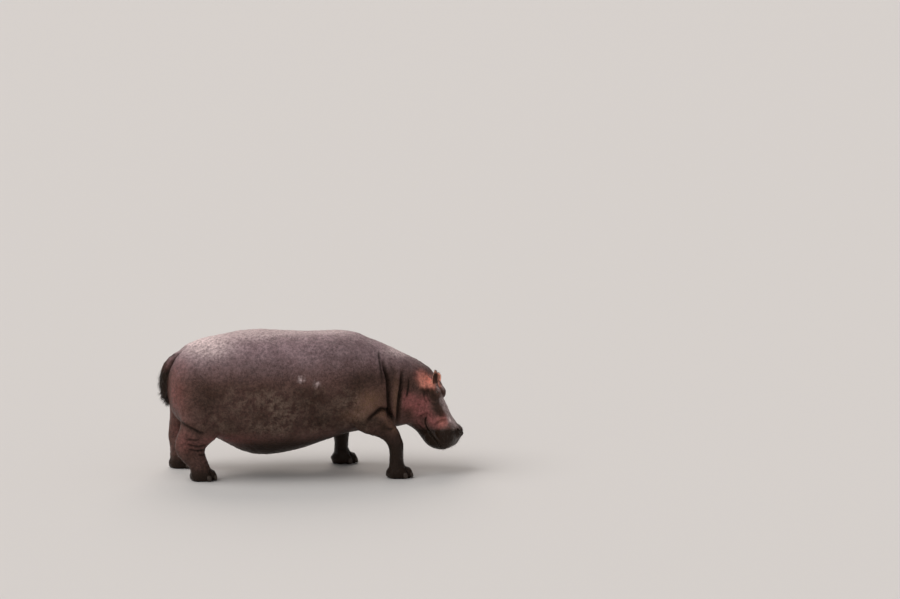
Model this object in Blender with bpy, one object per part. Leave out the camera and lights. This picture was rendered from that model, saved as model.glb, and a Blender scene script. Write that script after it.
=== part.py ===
"""A common hippopotamus at life size, walking with its head lowered, as a still museum model.

The animal is shaped whole: rings are lofted into a trunk, a neck, a head and four legs, the shells are fused by a
voxel remesh and smoothed, and the result is then parted by thin cuts into the pieces that a person would name.
Frame: +X is the way it walks, +Y its left side, +Z up, with the floor at z = 0. Metres.
"""

from math import cos, pi, radians, sin

import bmesh
import bpy
import numpy as np
from mathutils import Matrix, Vector

# ---------------------------------------------------------------- driving dimensions, metres and degrees
CUT = 0.0005  # how far a cut is moved outwards to leave its gap
VOXEL = 0.011  # grain of the remesh that fuses the shells
FLESH_TRIANGLES = 3500  # of the fused body once it is simplified
FACE_CARE = 0.9  # under 1 keeps more of them on the face
BEHIND_FACE = 0.98  # all that lies behind this along X is off the face
RING_POINTS = 40

HEAD_PLACE = Vector((1.235, -0.025, 0.765))  # midway between the eyes, inside the skull
HEAD_PITCH = 60.0  # nose down from level
HEAD_YAW = 11.5  # the neck turns it to its right
HEAD_SWING = 10.0  # and the muzzle swings a little further the same way

EYE_SPOT = (0.012, 0.163, 0.104)  # along the head, out to the side, up from its axis
EYE_RADIUS = 0.024

EAR_ROOT = (-0.068, 0.160, 0.112)
EARS = {  # from root to tip, and the way the cup opens, in the head's frame: the right one pricked, the left laid back
    "right": ((-0.73, -0.33, 0.59), (0.32, -0.80, 0.51)),
    "left": ((-0.80, 0.60, -0.05), (0.35, 0.45, 0.80)),
}
EAR_LENGTH = 0.162
EAR_WIDTH = 0.084
EAR_WALL = 0.012
EAR_CUP = 0.032  # how far its edges stand in front of its middle

TOE_ANGLES = (-50.0, -16.0, 16.0, 50.0)  # each toe's heading from straight ahead
TOE_REACH = (0.112, 0.142, 0.142, 0.112)  # from the foot's centre to each toe's tip
TOE_HEIGHT = 0.050
NAIL_SIZE = (0.019, 0.028, 0.032)  # half depth, half width, half height
FOOT_TOP = 0.150  # height of the cut round each ankle and wrist
SLEEVE = 0.070  # how far round a limb its cut from the trunk runs
MERGE = 0.000002  # points closer than this are one

SKIN_COLOUR = (0.150, 0.095, 0.098, 1.0)
MUZZLE_COLOUR = (0.090, 0.060, 0.058, 1.0)
PINK_COLOUR = (0.300, 0.110, 0.085, 1.0)
DARK_COLOUR = (0.045, 0.030, 0.026, 1.0)
NAIL_COLOUR = (0.050, 0.038, 0.032, 1.0)
EYE_COLOUR = (0.020, 0.011, 0.006, 1.0)

# Trunk: place along X, top, belly, half width, and height of the widest level.
TRUNK = (
    (-1.440, 1.000, 0.840, 0.100, 0.920),
    (-1.416, 1.105, 0.700, 0.235, 0.900),
    (-1.352, 1.230, 0.580, 0.335, 0.870),
    (-1.250, 1.322, 0.510, 0.398, 0.850),
    (-1.100, 1.387, 0.455, 0.445, 0.830),
    (-0.900, 1.424, 0.355, 0.485, 0.790),
    (-0.700, 1.463, 0.245, 0.520, 0.740),
    (-0.500, 1.474, 0.205, 0.542, 0.720),
    (-0.280, 1.458, 0.222, 0.542, 0.720),
    (-0.050, 1.445, 0.275, 0.526, 0.740),
    (0.160, 1.448, 0.345, 0.500, 0.780),
    (0.360, 1.446, 0.405, 0.466, 0.820),
    (0.520, 1.412, 0.430, 0.430, 0.830),
    (0.680, 1.310, 0.460, 0.380, 0.820),
    (0.800, 1.180, 0.520, 0.280, 0.800),
)

# Neck: its crest as x and z, its throat as x and z, half width, and how far it has turned to the right.
NECK = (
    (0.500, 1.405, 0.600, 0.440, 0.440, 0.000),
    (0.700, 1.330, 0.760, 0.450, 0.390, 0.000),
    (0.880, 1.246, 0.870, 0.455, 0.325, -0.004),
    (1.030, 1.172, 0.960, 0.470, 0.265, -0.010),
    (1.140, 1.112, 1.040, 0.530, 0.225, -0.018),
    (1.210, 1.060, 1.100, 0.600, 0.195, -0.022),
)

# Head, along its own axis from the poll to the lips: place, top, underside, half width, widest level, squareness.
HEAD = (
    (-0.330, 0.080, -0.330, 0.180, -0.120, 2.1),
    (-0.255, 0.126, -0.385, 0.212, -0.140, 2.3),
    (-0.170, 0.132, -0.405, 0.224, -0.160, 2.5),
    (-0.080, 0.116, -0.408, 0.224, -0.170, 2.6),
    (0.000, 0.102, -0.400, 0.217, -0.160, 2.7),
    (0.080, 0.094, -0.380, 0.203, -0.140, 2.7),
    (0.160, 0.094, -0.340, 0.180, -0.120, 2.7),
    (0.240, 0.088, -0.300, 0.164, -0.100, 2.6),
    (0.310, 0.088, -0.285, 0.176, -0.090, 2.6),
    (0.380, 0.094, -0.272, 0.208, -0.085, 2.8),
    (0.450, 0.084, -0.245, 0.228, -0.075, 2.9),
    (0.510, 0.060, -0.195, 0.212, -0.070, 2.7),
    (0.554, -0.005, -0.130, 0.148, -0.070, 2.4),
)

# Swellings of one side of the head: along, out to the side, up, three radii, and how far each is tipped.
SWELLINGS = {
    "brow": (0.000, 0.128, 0.078, 0.078, 0.056, 0.064, 0.0),
    "temple": (-0.095, 0.130, 0.072, 0.095, 0.066, 0.060, -8.0),
    "cheekbone": (0.060, 0.132, -0.045, 0.165, 0.078, 0.100, 10.0),
    "nostril": (0.450, 0.080, 0.070, 0.068, 0.046, 0.043, 14.0),
    "whisker_pad": (0.430, 0.142, -0.030, 0.110, 0.106, 0.104, 0.0),
    "tusk_bulge": (0.385, 0.125, -0.165, 0.085, 0.074, 0.085, 0.0),
    "jowl": (-0.030, 0.130, -0.262, 0.200, 0.130, 0.165, 0.0),
}

# Limbs, from inside the trunk down to the foot: x, y, z, half length along the body, half width across it.
LEGS = {
    "foreleg_right": (
        (0.440, -0.270, 0.900, 0.240, 0.150),
        (0.480, -0.330, 0.710, 0.200, 0.145),
        (0.570, -0.375, 0.595, 0.150, 0.130),
        (0.700, -0.395, 0.525, 0.116, 0.112),
        (0.800, -0.402, 0.435, 0.091, 0.096),
        (0.844, -0.404, 0.335, 0.078, 0.088),
        (0.848, -0.405, 0.230, 0.069, 0.080),
        (0.850, -0.405, 0.150, 0.074, 0.084),
        (0.856, -0.405, 0.090, 0.088, 0.096),
    ),
    "foreleg_left": (
        (0.420, 0.260, 0.900, 0.240, 0.150),
        (0.370, 0.320, 0.710, 0.190, 0.145),
        (0.335, 0.360, 0.560, 0.140, 0.125),
        (0.338, 0.375, 0.440, 0.110, 0.108),
        (0.348, 0.380, 0.330, 0.090, 0.094),
        (0.354, 0.381, 0.230, 0.072, 0.082),
        (0.356, 0.382, 0.160, 0.067, 0.080),
        (0.362, 0.382, 0.090, 0.086, 0.096),
    ),
    "hindleg_right": (
        (-1.090, -0.220, 0.950, 0.260, 0.160),
        (-1.090, -0.290, 0.740, 0.285, 0.175),
        (-1.125, -0.325, 0.580, 0.225, 0.155),
        (-1.200, -0.335, 0.450, 0.168, 0.128),
        (-1.258, -0.337, 0.355, 0.144, 0.108),
        (-1.205, -0.337, 0.260, 0.120, 0.098),
        (-1.158, -0.337, 0.175, 0.098, 0.092),
        (-1.128, -0.337, 0.090, 0.098, 0.100),
    ),
    "hindleg_left": (
        (-1.120, 0.210, 0.950, 0.260, 0.160),
        (-1.170, 0.280, 0.740, 0.270, 0.175),
        (-1.230, 0.315, 0.570, 0.195, 0.150),
        (-1.285, 0.325, 0.440, 0.140, 0.120),
        (-1.316, 0.328, 0.345, 0.114, 0.100),
        (-1.322, 0.330, 0.250, 0.094, 0.090),
        (-1.318, 0.330, 0.170, 0.086, 0.088),
        (-1.310, 0.330, 0.090, 0.094, 0.098),
    ),
}

# Tail pressed into the cleft of the rump, flattened from side to side: x, z, half depth, half width.
TAIL = (
    (-1.250, 1.262, 0.040, 0.060),
    (-1.364, 1.190, 0.044, 0.052),
    (-1.428, 1.120, 0.045, 0.044),
    (-1.460, 1.050, 0.045, 0.036),
    (-1.473, 0.980, 0.045, 0.030),
    (-1.475, 0.910, 0.045, 0.026),
    (-1.466, 0.840, 0.038, 0.022),
    (-1.450, 0.780, 0.028, 0.018),
    (-1.434, 0.735, 0.014, 0.013),
)

# Joints that stand out from the limbs: x, y, z and three radii.
JOINTS = {
    "foreleg_right": (
        (0.545, -0.365, 0.600, 0.150, 0.110, 0.120),
        (0.846, -0.404, 0.345, 0.080, 0.090, 0.080),
    ),
    "foreleg_left": (
        (0.318, 0.360, 0.580, 0.130, 0.110, 0.120),
        (0.352, 0.380, 0.320, 0.088, 0.092, 0.080),
    ),
    "hindleg_right": (
        (-1.010, -0.310, 0.640, 0.190, 0.150, 0.150),
        (-1.300, -0.337, 0.370, 0.090, 0.072, 0.085),
    ),
    "hindleg_left": (
        (-1.110, 0.300, 0.640, 0.180, 0.150, 0.150),
        (-1.345, 0.328, 0.370, 0.075, 0.068, 0.085),
    ),
}


# ---------------------------------------------------------------- meshes
def new_object(name, shape):
    """Links a mesh, or a bmesh turned into one, to the scene."""
    mesh = shape
    if isinstance(shape, bmesh.types.BMesh):
        mesh = bpy.data.meshes.new(name)
        shape.to_mesh(mesh)
        shape.free()
    obj = bpy.data.objects.new(name, mesh)
    bpy.context.scene.collection.objects.link(obj)
    return obj


def remove(*objects):
    for obj in objects:
        bpy.data.objects.remove(obj)


def evaluated(obj):
    """A plain object with the mesh that obj's modifiers make, in place of obj."""
    bpy.context.view_layer.update()
    graph = bpy.context.evaluated_depsgraph_get()
    mesh = bpy.data.meshes.new_from_object(obj.evaluated_get(graph))
    name = obj.name
    remove(obj)
    return new_object(name, mesh)


def through(stations, count):
    """Catmull-Rom points through the stations, so that few of them make a smooth line."""
    rows = np.array(stations, float)
    padded = np.vstack([2 * rows[0] - rows[1], rows, 2 * rows[-1] - rows[-2]])
    found = []
    for place in np.linspace(0, len(rows) - 1, count):
        i = min(int(place), len(rows) - 2)
        t = place - i
        a, b, c, d = padded[i : i + 4]
        curve = 2 * b + (c - a) * t + (2 * a - 5 * b + 4 * c - d) * t**2 + (3 * b - a - 3 * c + d) * t**3
        found.append(curve / 2)
    return np.array(found)


def ring(centre, across, up, half_width, above, below, power=2.0, points=RING_POINTS):
    """A closed ring of points: a superellipse with its own height above and below its widest level."""
    found = []
    for i in range(points):
        c, s = cos(2 * pi * i / points), sin(2 * pi * i / points)
        side = half_width * np.sign(c) * abs(c) ** (2 / power)
        rise = (above if s > 0 else below) * np.sign(s) * abs(s) ** (2 / power)
        found.append(Vector(centre) + Vector(across) * side + Vector(up) * rise)
    return found


def loft(name, rings):
    """A closed skin of triangles over rings of equal length."""
    bm = bmesh.new()
    loops = [[bm.verts.new(p) for p in points] for points in rings]
    for a, b in zip(loops, loops[1:]):
        for i in range(len(a)):
            j = (i + 1) % len(a)
            bm.faces.new((a[i], a[j], b[j], b[i]))
    bm.faces.new(loops[0][::-1])
    bm.faces.new(loops[-1])
    bmesh.ops.triangulate(bm, faces=bm.faces)
    bmesh.ops.recalc_face_normals(bm, faces=bm.faces)
    return new_object(name, bm)


def ellipsoid(name, centre, radii, turn=None, segments=24):
    """A ball stretched to three radii, turned by a 3x3 matrix."""
    bm = bmesh.new()
    place = (turn or Matrix.Identity(3)).to_4x4()
    place.translation = centre
    place = place @ Matrix.Diagonal((*radii, 1))
    bmesh.ops.create_uvsphere(bm, u_segments=segments, v_segments=segments // 2, radius=1.0, matrix=place)
    return new_object(name, bm)


def box(name, centre, half_sizes, turn=None):
    bm = bmesh.new()
    place = (turn or Matrix.Identity(3)).to_4x4()
    place.translation = centre
    bmesh.ops.create_cube(bm, size=2.0, matrix=place @ Matrix.Diagonal((*half_sizes, 1)))
    return new_object(name, bm)


def grown(obj, by):
    """A copy of obj with its surface moved outwards."""
    bm = bmesh.new()
    bm.from_mesh(obj.data)
    bm.normal_update()
    for vertex, normal in [(v, v.normal.copy()) for v in bm.verts]:
        vertex.co += normal * by
    return new_object(obj.name + "_grown", bm)


def joined(name, objects):
    """One object that holds the shells of several, still apart."""
    bm = bmesh.new()
    for obj in objects:
        bm.from_mesh(obj.data)
    remove(*objects)
    return new_object(name, bm)


# ---------------------------------------------------------------- the head's own frame
HEAD_TURN = (
    Matrix.Rotation(radians(-HEAD_YAW), 3, "Z")
    @ Matrix.Rotation(radians(HEAD_PITCH), 3, "Y")
    @ Matrix.Rotation(radians(-HEAD_SWING), 3, "Z")
)


def on_head(along, left, up):
    """A point of the head: along its axis towards the lips, to its left, and out of its forehead."""
    return HEAD_PLACE + HEAD_TURN @ Vector((along, left, up))


def head_ball(name, along, left, up, radii, tip=0.0):
    """A swelling on the head, which may be tipped in the head's own frame."""
    return ellipsoid(name, on_head(along, left, up), radii, HEAD_TURN @ Matrix.Rotation(radians(tip), 3, "Y"))


# ---------------------------------------------------------------- the shells of the body
def trunk_shell():
    rings = []
    for x, top, belly, width, level in through(TRUNK, 48):
        rings.append(ring((x, 0, level), (0, 1, 0), (0, 0, 1), width, top - level, level - belly, 2.25))
    return loft("trunk_shell", rings)


def neck_shell():
    rings = []
    for crest_x, crest_z, throat_x, throat_z, width, y in through(NECK, 20):
        crest, throat = Vector((crest_x, y, crest_z)), Vector((throat_x, y, throat_z))
        up = (crest - throat).normalized()
        height = (crest - throat).length / 2
        rings.append(ring((crest + throat) / 2, (0, 1, 0), up, width, height, height, 2.2))
    return loft("neck_shell", rings)


def head_shells():
    across, up = HEAD_TURN @ Vector((0, 1, 0)), HEAD_TURN @ Vector((0, 0, 1))
    rings = []
    for along, top, under, width, level, power in through(HEAD, 44):
        rings.append(ring(on_head(along, 0, level), across, up, width, top - level, level - under, power))
    shells = [loft("head_shell", rings), head_ball("chin", 0.380, 0, -0.195, (0.120, 0.150, 0.070))]
    for name, (along, out, rise, length, width, height, tip) in SWELLINGS.items():
        for side in (-1, 1):
            shells.append(head_ball(name, along, side * out, rise, (length, width, height), tip))
    return shells


def leg_rings(rows, spare, points=RING_POINTS):
    """Rings across a limb's run, spare wider than the limb itself."""
    rings = []
    for i, (x, y, z, length, width) in enumerate(rows):
        before, after = rows[max(i - 1, 0)][:3], rows[min(i + 1, len(rows) - 1)][:3]
        down = Vector(after - before).normalized()
        across = (Vector((0, 1, 0)) - down * down.y).normalized()
        rise = length + spare
        rings.append(ring((x, y, z), across, down.cross(across), width + spare, rise, rise, 2.1, points))
    return rings


def leg_shells(name):
    shells = [loft(name + "_shell", leg_rings(through(LEGS[name], 34), 0)), *foot_shells(name)]
    for x, y, z, *radii in JOINTS[name]:
        shells.append(ellipsoid("joint", (x, y, z), radii))
    return shells


def toes(name):
    """Each toe's number, tip and heading, from the right one round to the left one."""
    x, y = LEGS[name][-1][:2]
    for number, (angle, reach) in enumerate(zip(TOE_ANGLES, TOE_REACH), 1):
        heading = Vector((cos(radians(angle)), sin(radians(angle)), 0))
        yield number, Vector((x, y, TOE_HEIGHT)) + heading * reach, heading


def foot_shells(name):
    x, y = LEGS[name][-1][:2]
    shells = [ellipsoid("pad", (x - 0.012, y, 0.045), (0.108, 0.106, 0.075))]
    for _number, tip, heading in toes(name):
        turn = heading.to_track_quat("X", "Z").to_matrix()
        shells.append(ellipsoid("toe", tip - heading * 0.062, (0.082, 0.040, 0.058), turn))
        shells.append(ellipsoid("toe_end", tip - heading * 0.024 - Vector((0, 0, 0.012)), (0.042, 0.036, 0.046), turn))
    return shells


def tail_shell():
    rings = []
    rows = through(TAIL, 13)
    for i, (x, z, thick, wide) in enumerate(rows):
        before, after = rows[max(i - 1, 0)][:2], rows[min(i + 1, len(rows) - 1)][:2]
        run = Vector((after[0] - before[0], 0, after[1] - before[1])).normalized()
        rings.append(ring((x, 0, z), (0, 1, 0), run.cross(Vector((0, 1, 0))), wide, thick, thick, 2.0, 10))
    return loft("tail", rings)


def ear_shell(side, word):
    """A short cupped leaf on a stalk: flat rings that widen, curl forwards at their edges and close at the tip."""
    along, out, rise = EAR_ROOT
    root = on_head(along, side * out, rise)
    run, face = (HEAD_TURN @ Vector(way).normalized() for way in EARS[word])
    face = (face - run * face.dot(run)).normalized()
    across = run.cross(face)
    rings = []
    for t in np.linspace(-0.28, 1.0, 10):
        leaf = max(0.0, min(1.0, (t - 0.05) / 0.95))
        widest = 0.55
        width = EAR_WIDTH / 2 * (1 - 0.93 * ((leaf - widest) / (1 - widest)) ** 2) ** 0.5
        if leaf < widest:
            width = EAR_WIDTH / 2 * (0.42 + 0.58 * sin(pi / 2 * leaf / widest))
        cup = EAR_CUP * sin(pi * min(1.0, leaf * 0.93)) ** 0.7
        wall = EAR_WALL * (1 + 1.2 * (1 - leaf) ** 2)
        back, front = [], []
        for s in np.linspace(-1, 1, 7):
            centre = root + run * (EAR_LENGTH * (t - 0.10 * leaf**3 * s * s)) + across * (width * s)
            bow = cup * s * s
            edge = (1 - s * s) ** 0.5
            back.append(centre + face * (bow - wall * (0.2 + edge)))
            front.append(centre + face * (bow + wall * (0.2 + 0.5 * edge) - cup * 0.5 * edge))
        rings.append(back + front[::-1])
    return loft("ear_" + word, rings)


# ---------------------------------------------------------------- fusing
def off_the_face(point):
    """0 on the face and its brows, rising to 1 over the neck and everywhere behind it."""
    along = (HEAD_TURN.transposed() @ (point - HEAD_PLACE)).x
    away = min(1.0, max(0.0, ((point - HEAD_PLACE).length - 0.28) / 0.30))
    nape = min(1.0, max(0.0, (-0.05 - along) / 0.25))
    behind = min(1.0, max(0.0, (BEHIND_FACE - point.x) / 0.06))
    return max(away if along < 0.25 else 0.0, nape, behind)


def off_the_feet(point):
    return min(1.0, max(0.0, (point.z - 0.18) / 0.20))


def weighted(obj, name, weight):
    """Adds a vertex group whose weights a function of the point gives."""
    group = obj.vertex_groups.new(name=name)
    for vertex in obj.data.vertices:
        group.add([vertex.index], weight(vertex.co), "REPLACE")
    return name


def fused_body():
    """All the shells of flesh as one closed skin, smoothed where they meet, then simplified."""
    shells = [trunk_shell(), neck_shell(), *head_shells()]
    for name in LEGS:
        shells += leg_shells(name)
    body = joined("body", shells)
    remesh = body.modifiers.new("fuse", "REMESH")
    remesh.mode = "VOXEL"
    remesh.voxel_size = VOXEL
    body = evaluated(body)
    broad = weighted(body, "broad", lambda point: off_the_face(point) * off_the_feet(point))
    plain = weighted(body, "plain", lambda point: FACE_CARE + (1 - FACE_CARE) * off_the_face(point))
    for group, times in ((broad, 60), ("", 6)):
        smooth = body.modifiers.new("smooth", "SMOOTH")
        smooth.factor = 0.5
        smooth.iterations = times
        smooth.vertex_group = group
    simplify = body.modifiers.new("simplify", "DECIMATE")
    simplify.ratio = FLESH_TRIANGLES / (2 * len(body.data.polygons))
    simplify.vertex_group = plain
    return evaluated(body)


# ---------------------------------------------------------------- parting
def boolean(obj, other, operation):
    cut = obj.modifiers.new(operation, "BOOLEAN")
    cut.operation = operation
    cut.solver = "EXACT"
    cut.object = other
    return evaluated(obj)


def parted(body, name, region):
    """The flesh inside a region as a piece of its own, and the rest of the body."""
    wider = grown(region, CUT)
    piece = boolean(new_object(name, body.data.copy()), region, "INTERSECT")
    rest = boolean(body, wider, "DIFFERENCE")
    remove(region, wider)
    return without_crumbs(piece), without_crumbs(rest)


def without_crumbs(obj):
    """The main body of a piece, without the slivers that a slanting cut may leave beside it."""
    bm = bmesh.new()
    bm.from_mesh(obj.data)
    left = set(bm.verts)
    bodies = []
    while left:
        found = {left.pop()}
        edge = list(found)
        while edge:
            near = {e.other_vert(v) for v in edge for e in v.link_edges} - found
            found |= near
            edge = list(near)
        left -= found
        bodies.append(found)
    main = max(bodies, key=len)
    bmesh.ops.delete(bm, geom=[v for v in bm.verts if v not in main], context="VERTS")
    bmesh.ops.remove_doubles(bm, verts=bm.verts, dist=MERGE)
    bmesh.ops.dissolve_degenerate(bm, edges=bm.edges, dist=MERGE)
    bm.to_mesh(obj.data)
    bm.free()
    return obj


def socketed(body, inset):
    """The body with a socket for a piece that is set into it."""
    wider = grown(inset, CUT)
    body = boolean(body, wider, "DIFFERENCE")
    remove(wider)
    return body


def side_of_plane(point, normal, reach=2.0):
    """A region: all that lies on the side of a plane to which its normal points."""
    turn = Vector(normal).to_track_quat("X", "Z").to_matrix()
    return box("region", Vector(point) + turn @ Vector((reach, 0, 0)), (reach,) * 3, turn)


def plane_across(top, bottom, turned):
    """The plane through a crest point and a throat point, given as x and z, turned to the right by degrees."""
    run = Vector((top[0] - bottom[0], 0, top[1] - bottom[1]))
    normal = Matrix.Rotation(radians(-turned), 3, "Z") @ run.cross(Vector((0, -1, 0)))
    return side_of_plane(((top[0] + bottom[0]) / 2, 0, (top[1] + bottom[1]) / 2), normal)


def leg_region(name):
    """A sleeve round a limb, from its root inside the trunk to below its foot's cut."""
    return loft("region", leg_rings(through(LEGS[name][1:], 6), SLEEVE, 12))


def jaw_region():
    """The lower jaw: all that lies below the line of the closed lips, back to the corner of the jaw."""
    lips = [(0.66, -0.125), (0.53, -0.120), (0.44, -0.132), (0.36, -0.152), (0.27, -0.160), (0.19, -0.140)]
    behind = [(0.115, -0.100), (0.085, -0.200), (0.075, -0.300), (0.080, -0.600), (0.66, -0.60)]
    sides = [[on_head(along, left, up) for along, up in lips + behind] for left in (-0.5, 0.5)]
    return loft("region", sides)


# ---------------------------------------------------------------- finish
def material(name, colour, roughness):
    made = bpy.data.materials.new(name)
    made.use_nodes = True
    shader = made.node_tree.nodes["Principled BSDF"]
    shader.inputs["Base Color"].default_value = colour
    shader.inputs["Roughness"].default_value = roughness
    shader.inputs["Metallic"].default_value = 0.0
    made.diffuse_color = colour
    return made


def finished(obj, finish):
    obj.data.name = obj.name
    obj.data.materials.clear()
    obj.data.materials.append(finish)
    obj.data.shade_smooth()
    obj.data.set_sharp_from_angle(angle=radians(50))
    return obj


def centred_on_floor(objects):
    """Moves the animal so that the origin lies under the middle of its box, with each piece's own origin inside it."""
    corners = np.array([v.co for obj in objects for v in obj.data.vertices])
    shift = -(corners.min(0) + corners.max(0)) / 2
    for obj in objects:
        obj.data.transform(Matrix.Translation((shift[0], shift[1], 0)))
        middle = sum((Vector(corner) for corner in obj.bound_box), Vector()) / 8
        obj.data.transform(Matrix.Translation(-middle))
        obj.location = middle


# ---------------------------------------------------------------- the pieces
def nails(leg):
    """The hooflets of one foot, each set into the end of its toe."""
    for number, tip, heading in toes(leg):
        turn = heading.to_track_quat("X", "Z").to_matrix() @ Matrix.Rotation(radians(-14), 3, "Y")
        place = tip + heading * 0.007 - Vector((0, 0, 0.014))
        yield ellipsoid(f"nail_{leg.replace('leg', '')}_{number}", place, NAIL_SIZE, turn, 8)


def eye(side, word):
    along, out, rise = EYE_SPOT
    return ellipsoid("eye_" + word, on_head(along, side * out, rise), (EYE_RADIUS,) * 3, HEAD_TURN, 12)


def build():
    skin = material("hide", SKIN_COLOUR, 0.62)
    muzzle = material("muzzle_hide", MUZZLE_COLOUR, 0.45)
    pink = material("pink_hide", PINK_COLOUR, 0.55)
    dark = material("tail_hide", DARK_COLOUR, 0.60)
    horn = material("nail_horn", NAIL_COLOUR, 0.50)
    wet = material("eye", EYE_COLOUR, 0.08)

    rest = fused_body()
    floor = box("floor", (0, 0, -1.0), (3, 3, 1.0))
    rest = boolean(rest, floor, "DIFFERENCE")
    remove(floor)

    insets = [(tail_shell(), dark)]
    for side, word in ((-1, "right"), (1, "left")):
        insets.append((ear_shell(side, word), pink))
        insets.append((eye(side, word), wet))
    for leg in LEGS:
        insets += [(nail, horn) for nail in nails(leg)]
    for inset, _finish in insets:
        rest = socketed(rest, inset)
    pieces = [finished(inset, finish) for inset, finish in insets]

    for leg in LEGS:
        x, y = LEGS[leg][-1][:2]
        low = box("region", (x, y, FOOT_TOP - 0.5), (0.30, 0.24, 0.5))
        foot, rest = parted(rest, leg.replace("leg", "foot"), low)
        pieces.append(finished(foot, skin))
    for leg in LEGS:
        limb, rest = parted(rest, leg, leg_region(leg))
        pieces.append(finished(limb, skin))
    head, rest = parted(rest, "head", plane_across((1.125, 1.12), (0.950, 0.45), 8))
    jaw, head = parted(head, "jaw", jaw_region())
    neck, trunk = parted(rest, "neck", plane_across((0.680, 1.34), (0.775, 0.45), 0))
    head.name = "head"
    trunk.name = "trunk"
    pieces += [finished(head, muzzle), finished(jaw, muzzle), finished(neck, skin), finished(trunk, skin)]
    centred_on_floor(pieces)


for leftover in list(bpy.data.objects):
    bpy.data.objects.remove(leftover)
if __name__ == "__main__":
    build()
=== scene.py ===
# %% [markdown]
# # A common hippopotamus, life size
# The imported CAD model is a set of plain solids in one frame: metres, +X the way the animal walks, +Y its left, +Z up.
# This lesson dresses it: one skin over all the flesh, two eyes, sixteen hooflets and three sets of bristles.

# %% Load the frame
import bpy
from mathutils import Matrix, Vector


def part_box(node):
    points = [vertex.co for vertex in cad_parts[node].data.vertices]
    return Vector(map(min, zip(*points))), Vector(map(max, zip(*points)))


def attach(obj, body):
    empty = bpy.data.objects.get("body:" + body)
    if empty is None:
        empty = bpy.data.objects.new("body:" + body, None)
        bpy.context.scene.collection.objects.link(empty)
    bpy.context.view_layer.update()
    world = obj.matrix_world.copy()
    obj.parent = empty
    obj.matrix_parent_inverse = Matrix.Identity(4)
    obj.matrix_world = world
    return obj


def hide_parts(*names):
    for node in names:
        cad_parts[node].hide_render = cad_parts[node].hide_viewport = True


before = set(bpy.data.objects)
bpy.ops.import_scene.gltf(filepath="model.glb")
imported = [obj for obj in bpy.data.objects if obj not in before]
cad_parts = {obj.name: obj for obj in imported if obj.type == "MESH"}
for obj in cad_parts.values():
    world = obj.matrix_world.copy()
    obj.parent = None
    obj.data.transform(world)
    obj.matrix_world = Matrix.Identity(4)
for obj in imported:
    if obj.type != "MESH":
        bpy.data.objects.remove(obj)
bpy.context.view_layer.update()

# %% Tools of the trade
from math import cos, pi, radians, sin

import bmesh
import bpy
import numpy as np
from mathutils import Matrix, Vector
from mathutils.bvhtree import BVHTree

scene = bpy.context.scene
SIDES = {"right": -1, "left": 1}


def into_scene(name, mesh):
    """Links a mesh to the scene as an object at the origin."""
    obj = bpy.data.objects.new(name, mesh)
    scene.collection.objects.link(obj)
    return obj


def settled(obj):
    """The plain mesh that an object's modifiers make. The object itself is removed."""
    bpy.context.view_layer.update()
    graph = bpy.context.evaluated_depsgraph_get()
    mesh = bpy.data.meshes.new_from_object(obj.evaluated_get(graph))
    bpy.data.objects.remove(obj)
    return mesh


def ease(values, low, high):
    """0 up to low, 1 from high, and a smooth S between."""
    t = np.clip((np.asarray(values, float) - low) / (high - low), 0, 1)
    return t * t * (3 - 2 * t)


# %% [markdown]
# ## Camera, floor and light
# A long lens from far away keeps the animal's proportions true. The camera stands to the animal's right, a little
# towards its rear, and looks down by ten degrees. The floor is a wide pale sheet, and its light is soft: a very broad
# lamp overhead, a warmer one behind that draws a rim along the back, and a weak one beside the camera.

# %% Camera
LENS = 200.0
CAMERA_DISTANCE = 51.02
CAMERA_AZIMUTH = -6.0
CAMERA_ELEVATION = 10.0
AIM = Vector((1.4304, 0.1525, 1.7234))

turn, tilt = radians(CAMERA_AZIMUTH), radians(CAMERA_ELEVATION)
backwards = Vector((sin(turn) * cos(tilt), -cos(turn) * cos(tilt), sin(tilt)))
lens = bpy.data.cameras.new("camera")
lens.lens = LENS
lens.sensor_width = 36.0
lens.clip_end = 200.0
camera = bpy.data.objects.new("camera", lens)
camera.location = AIM + backwards * CAMERA_DISTANCE
camera.rotation_euler = (-backwards).to_track_quat("-Z", "Y").to_euler()
scene.collection.objects.link(camera)
scene.camera = camera
print("camera at", tuple(round(v, 2) for v in camera.location))

# %% Floor and light
scene.view_settings.view_transform = "Standard"


def sky_lamp(name, way, spread, strength, colour):
    """A soft light from far away, so that it falls evenly on the whole floor. It shines from the way given."""
    data = bpy.data.lights.new(name, "SUN")
    data.angle, data.energy, data.color = radians(spread), strength, colour
    lamp = bpy.data.objects.new(name, data)
    lamp.rotation_euler = Vector(way).to_track_quat("Z", "Y").to_euler()
    scene.collection.objects.link(lamp)


sky_lamp("overhead", (-0.70, -0.05, 1.0), 50, 1.75, (1.0, 0.97, 0.95))
sky_lamp("rim", (0.05, 1.0, 0.75), 45, 1.15, (1.0, 0.88, 0.80))
sky_lamp("fill", (-0.45, -1.0, 0.60), 90, 0.30, (1.0, 0.97, 0.95))
world = bpy.data.worlds.new("studio")
world.use_nodes = True
sky = world.node_tree.nodes["Background"]
sky.inputs["Color"].default_value = (1.0, 0.98, 0.97, 1)
sky.inputs["Strength"].default_value = 0.32
scene.world = world

FLOOR_HALF = 150.0
corners = [(x * FLOOR_HALF, y * FLOOR_HALF, 0) for x, y in ((-1, -1), (1, -1), (1, 1), (-1, 1))]
floor_mesh = bpy.data.meshes.new("floor")
floor_mesh.from_pydata(corners, [], [(0, 1, 2, 3)])
floor = into_scene("floor", floor_mesh)
pale = bpy.data.materials.new("pale_floor")
pale.use_nodes = True
shader = pale.node_tree.nodes["Principled BSDF"]
shader.inputs["Base Color"].default_value = (0.62, 0.61, 0.60, 1)
shader.inputs["Roughness"].default_value = 0.9
floor_mesh.materials.append(pale)

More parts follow.
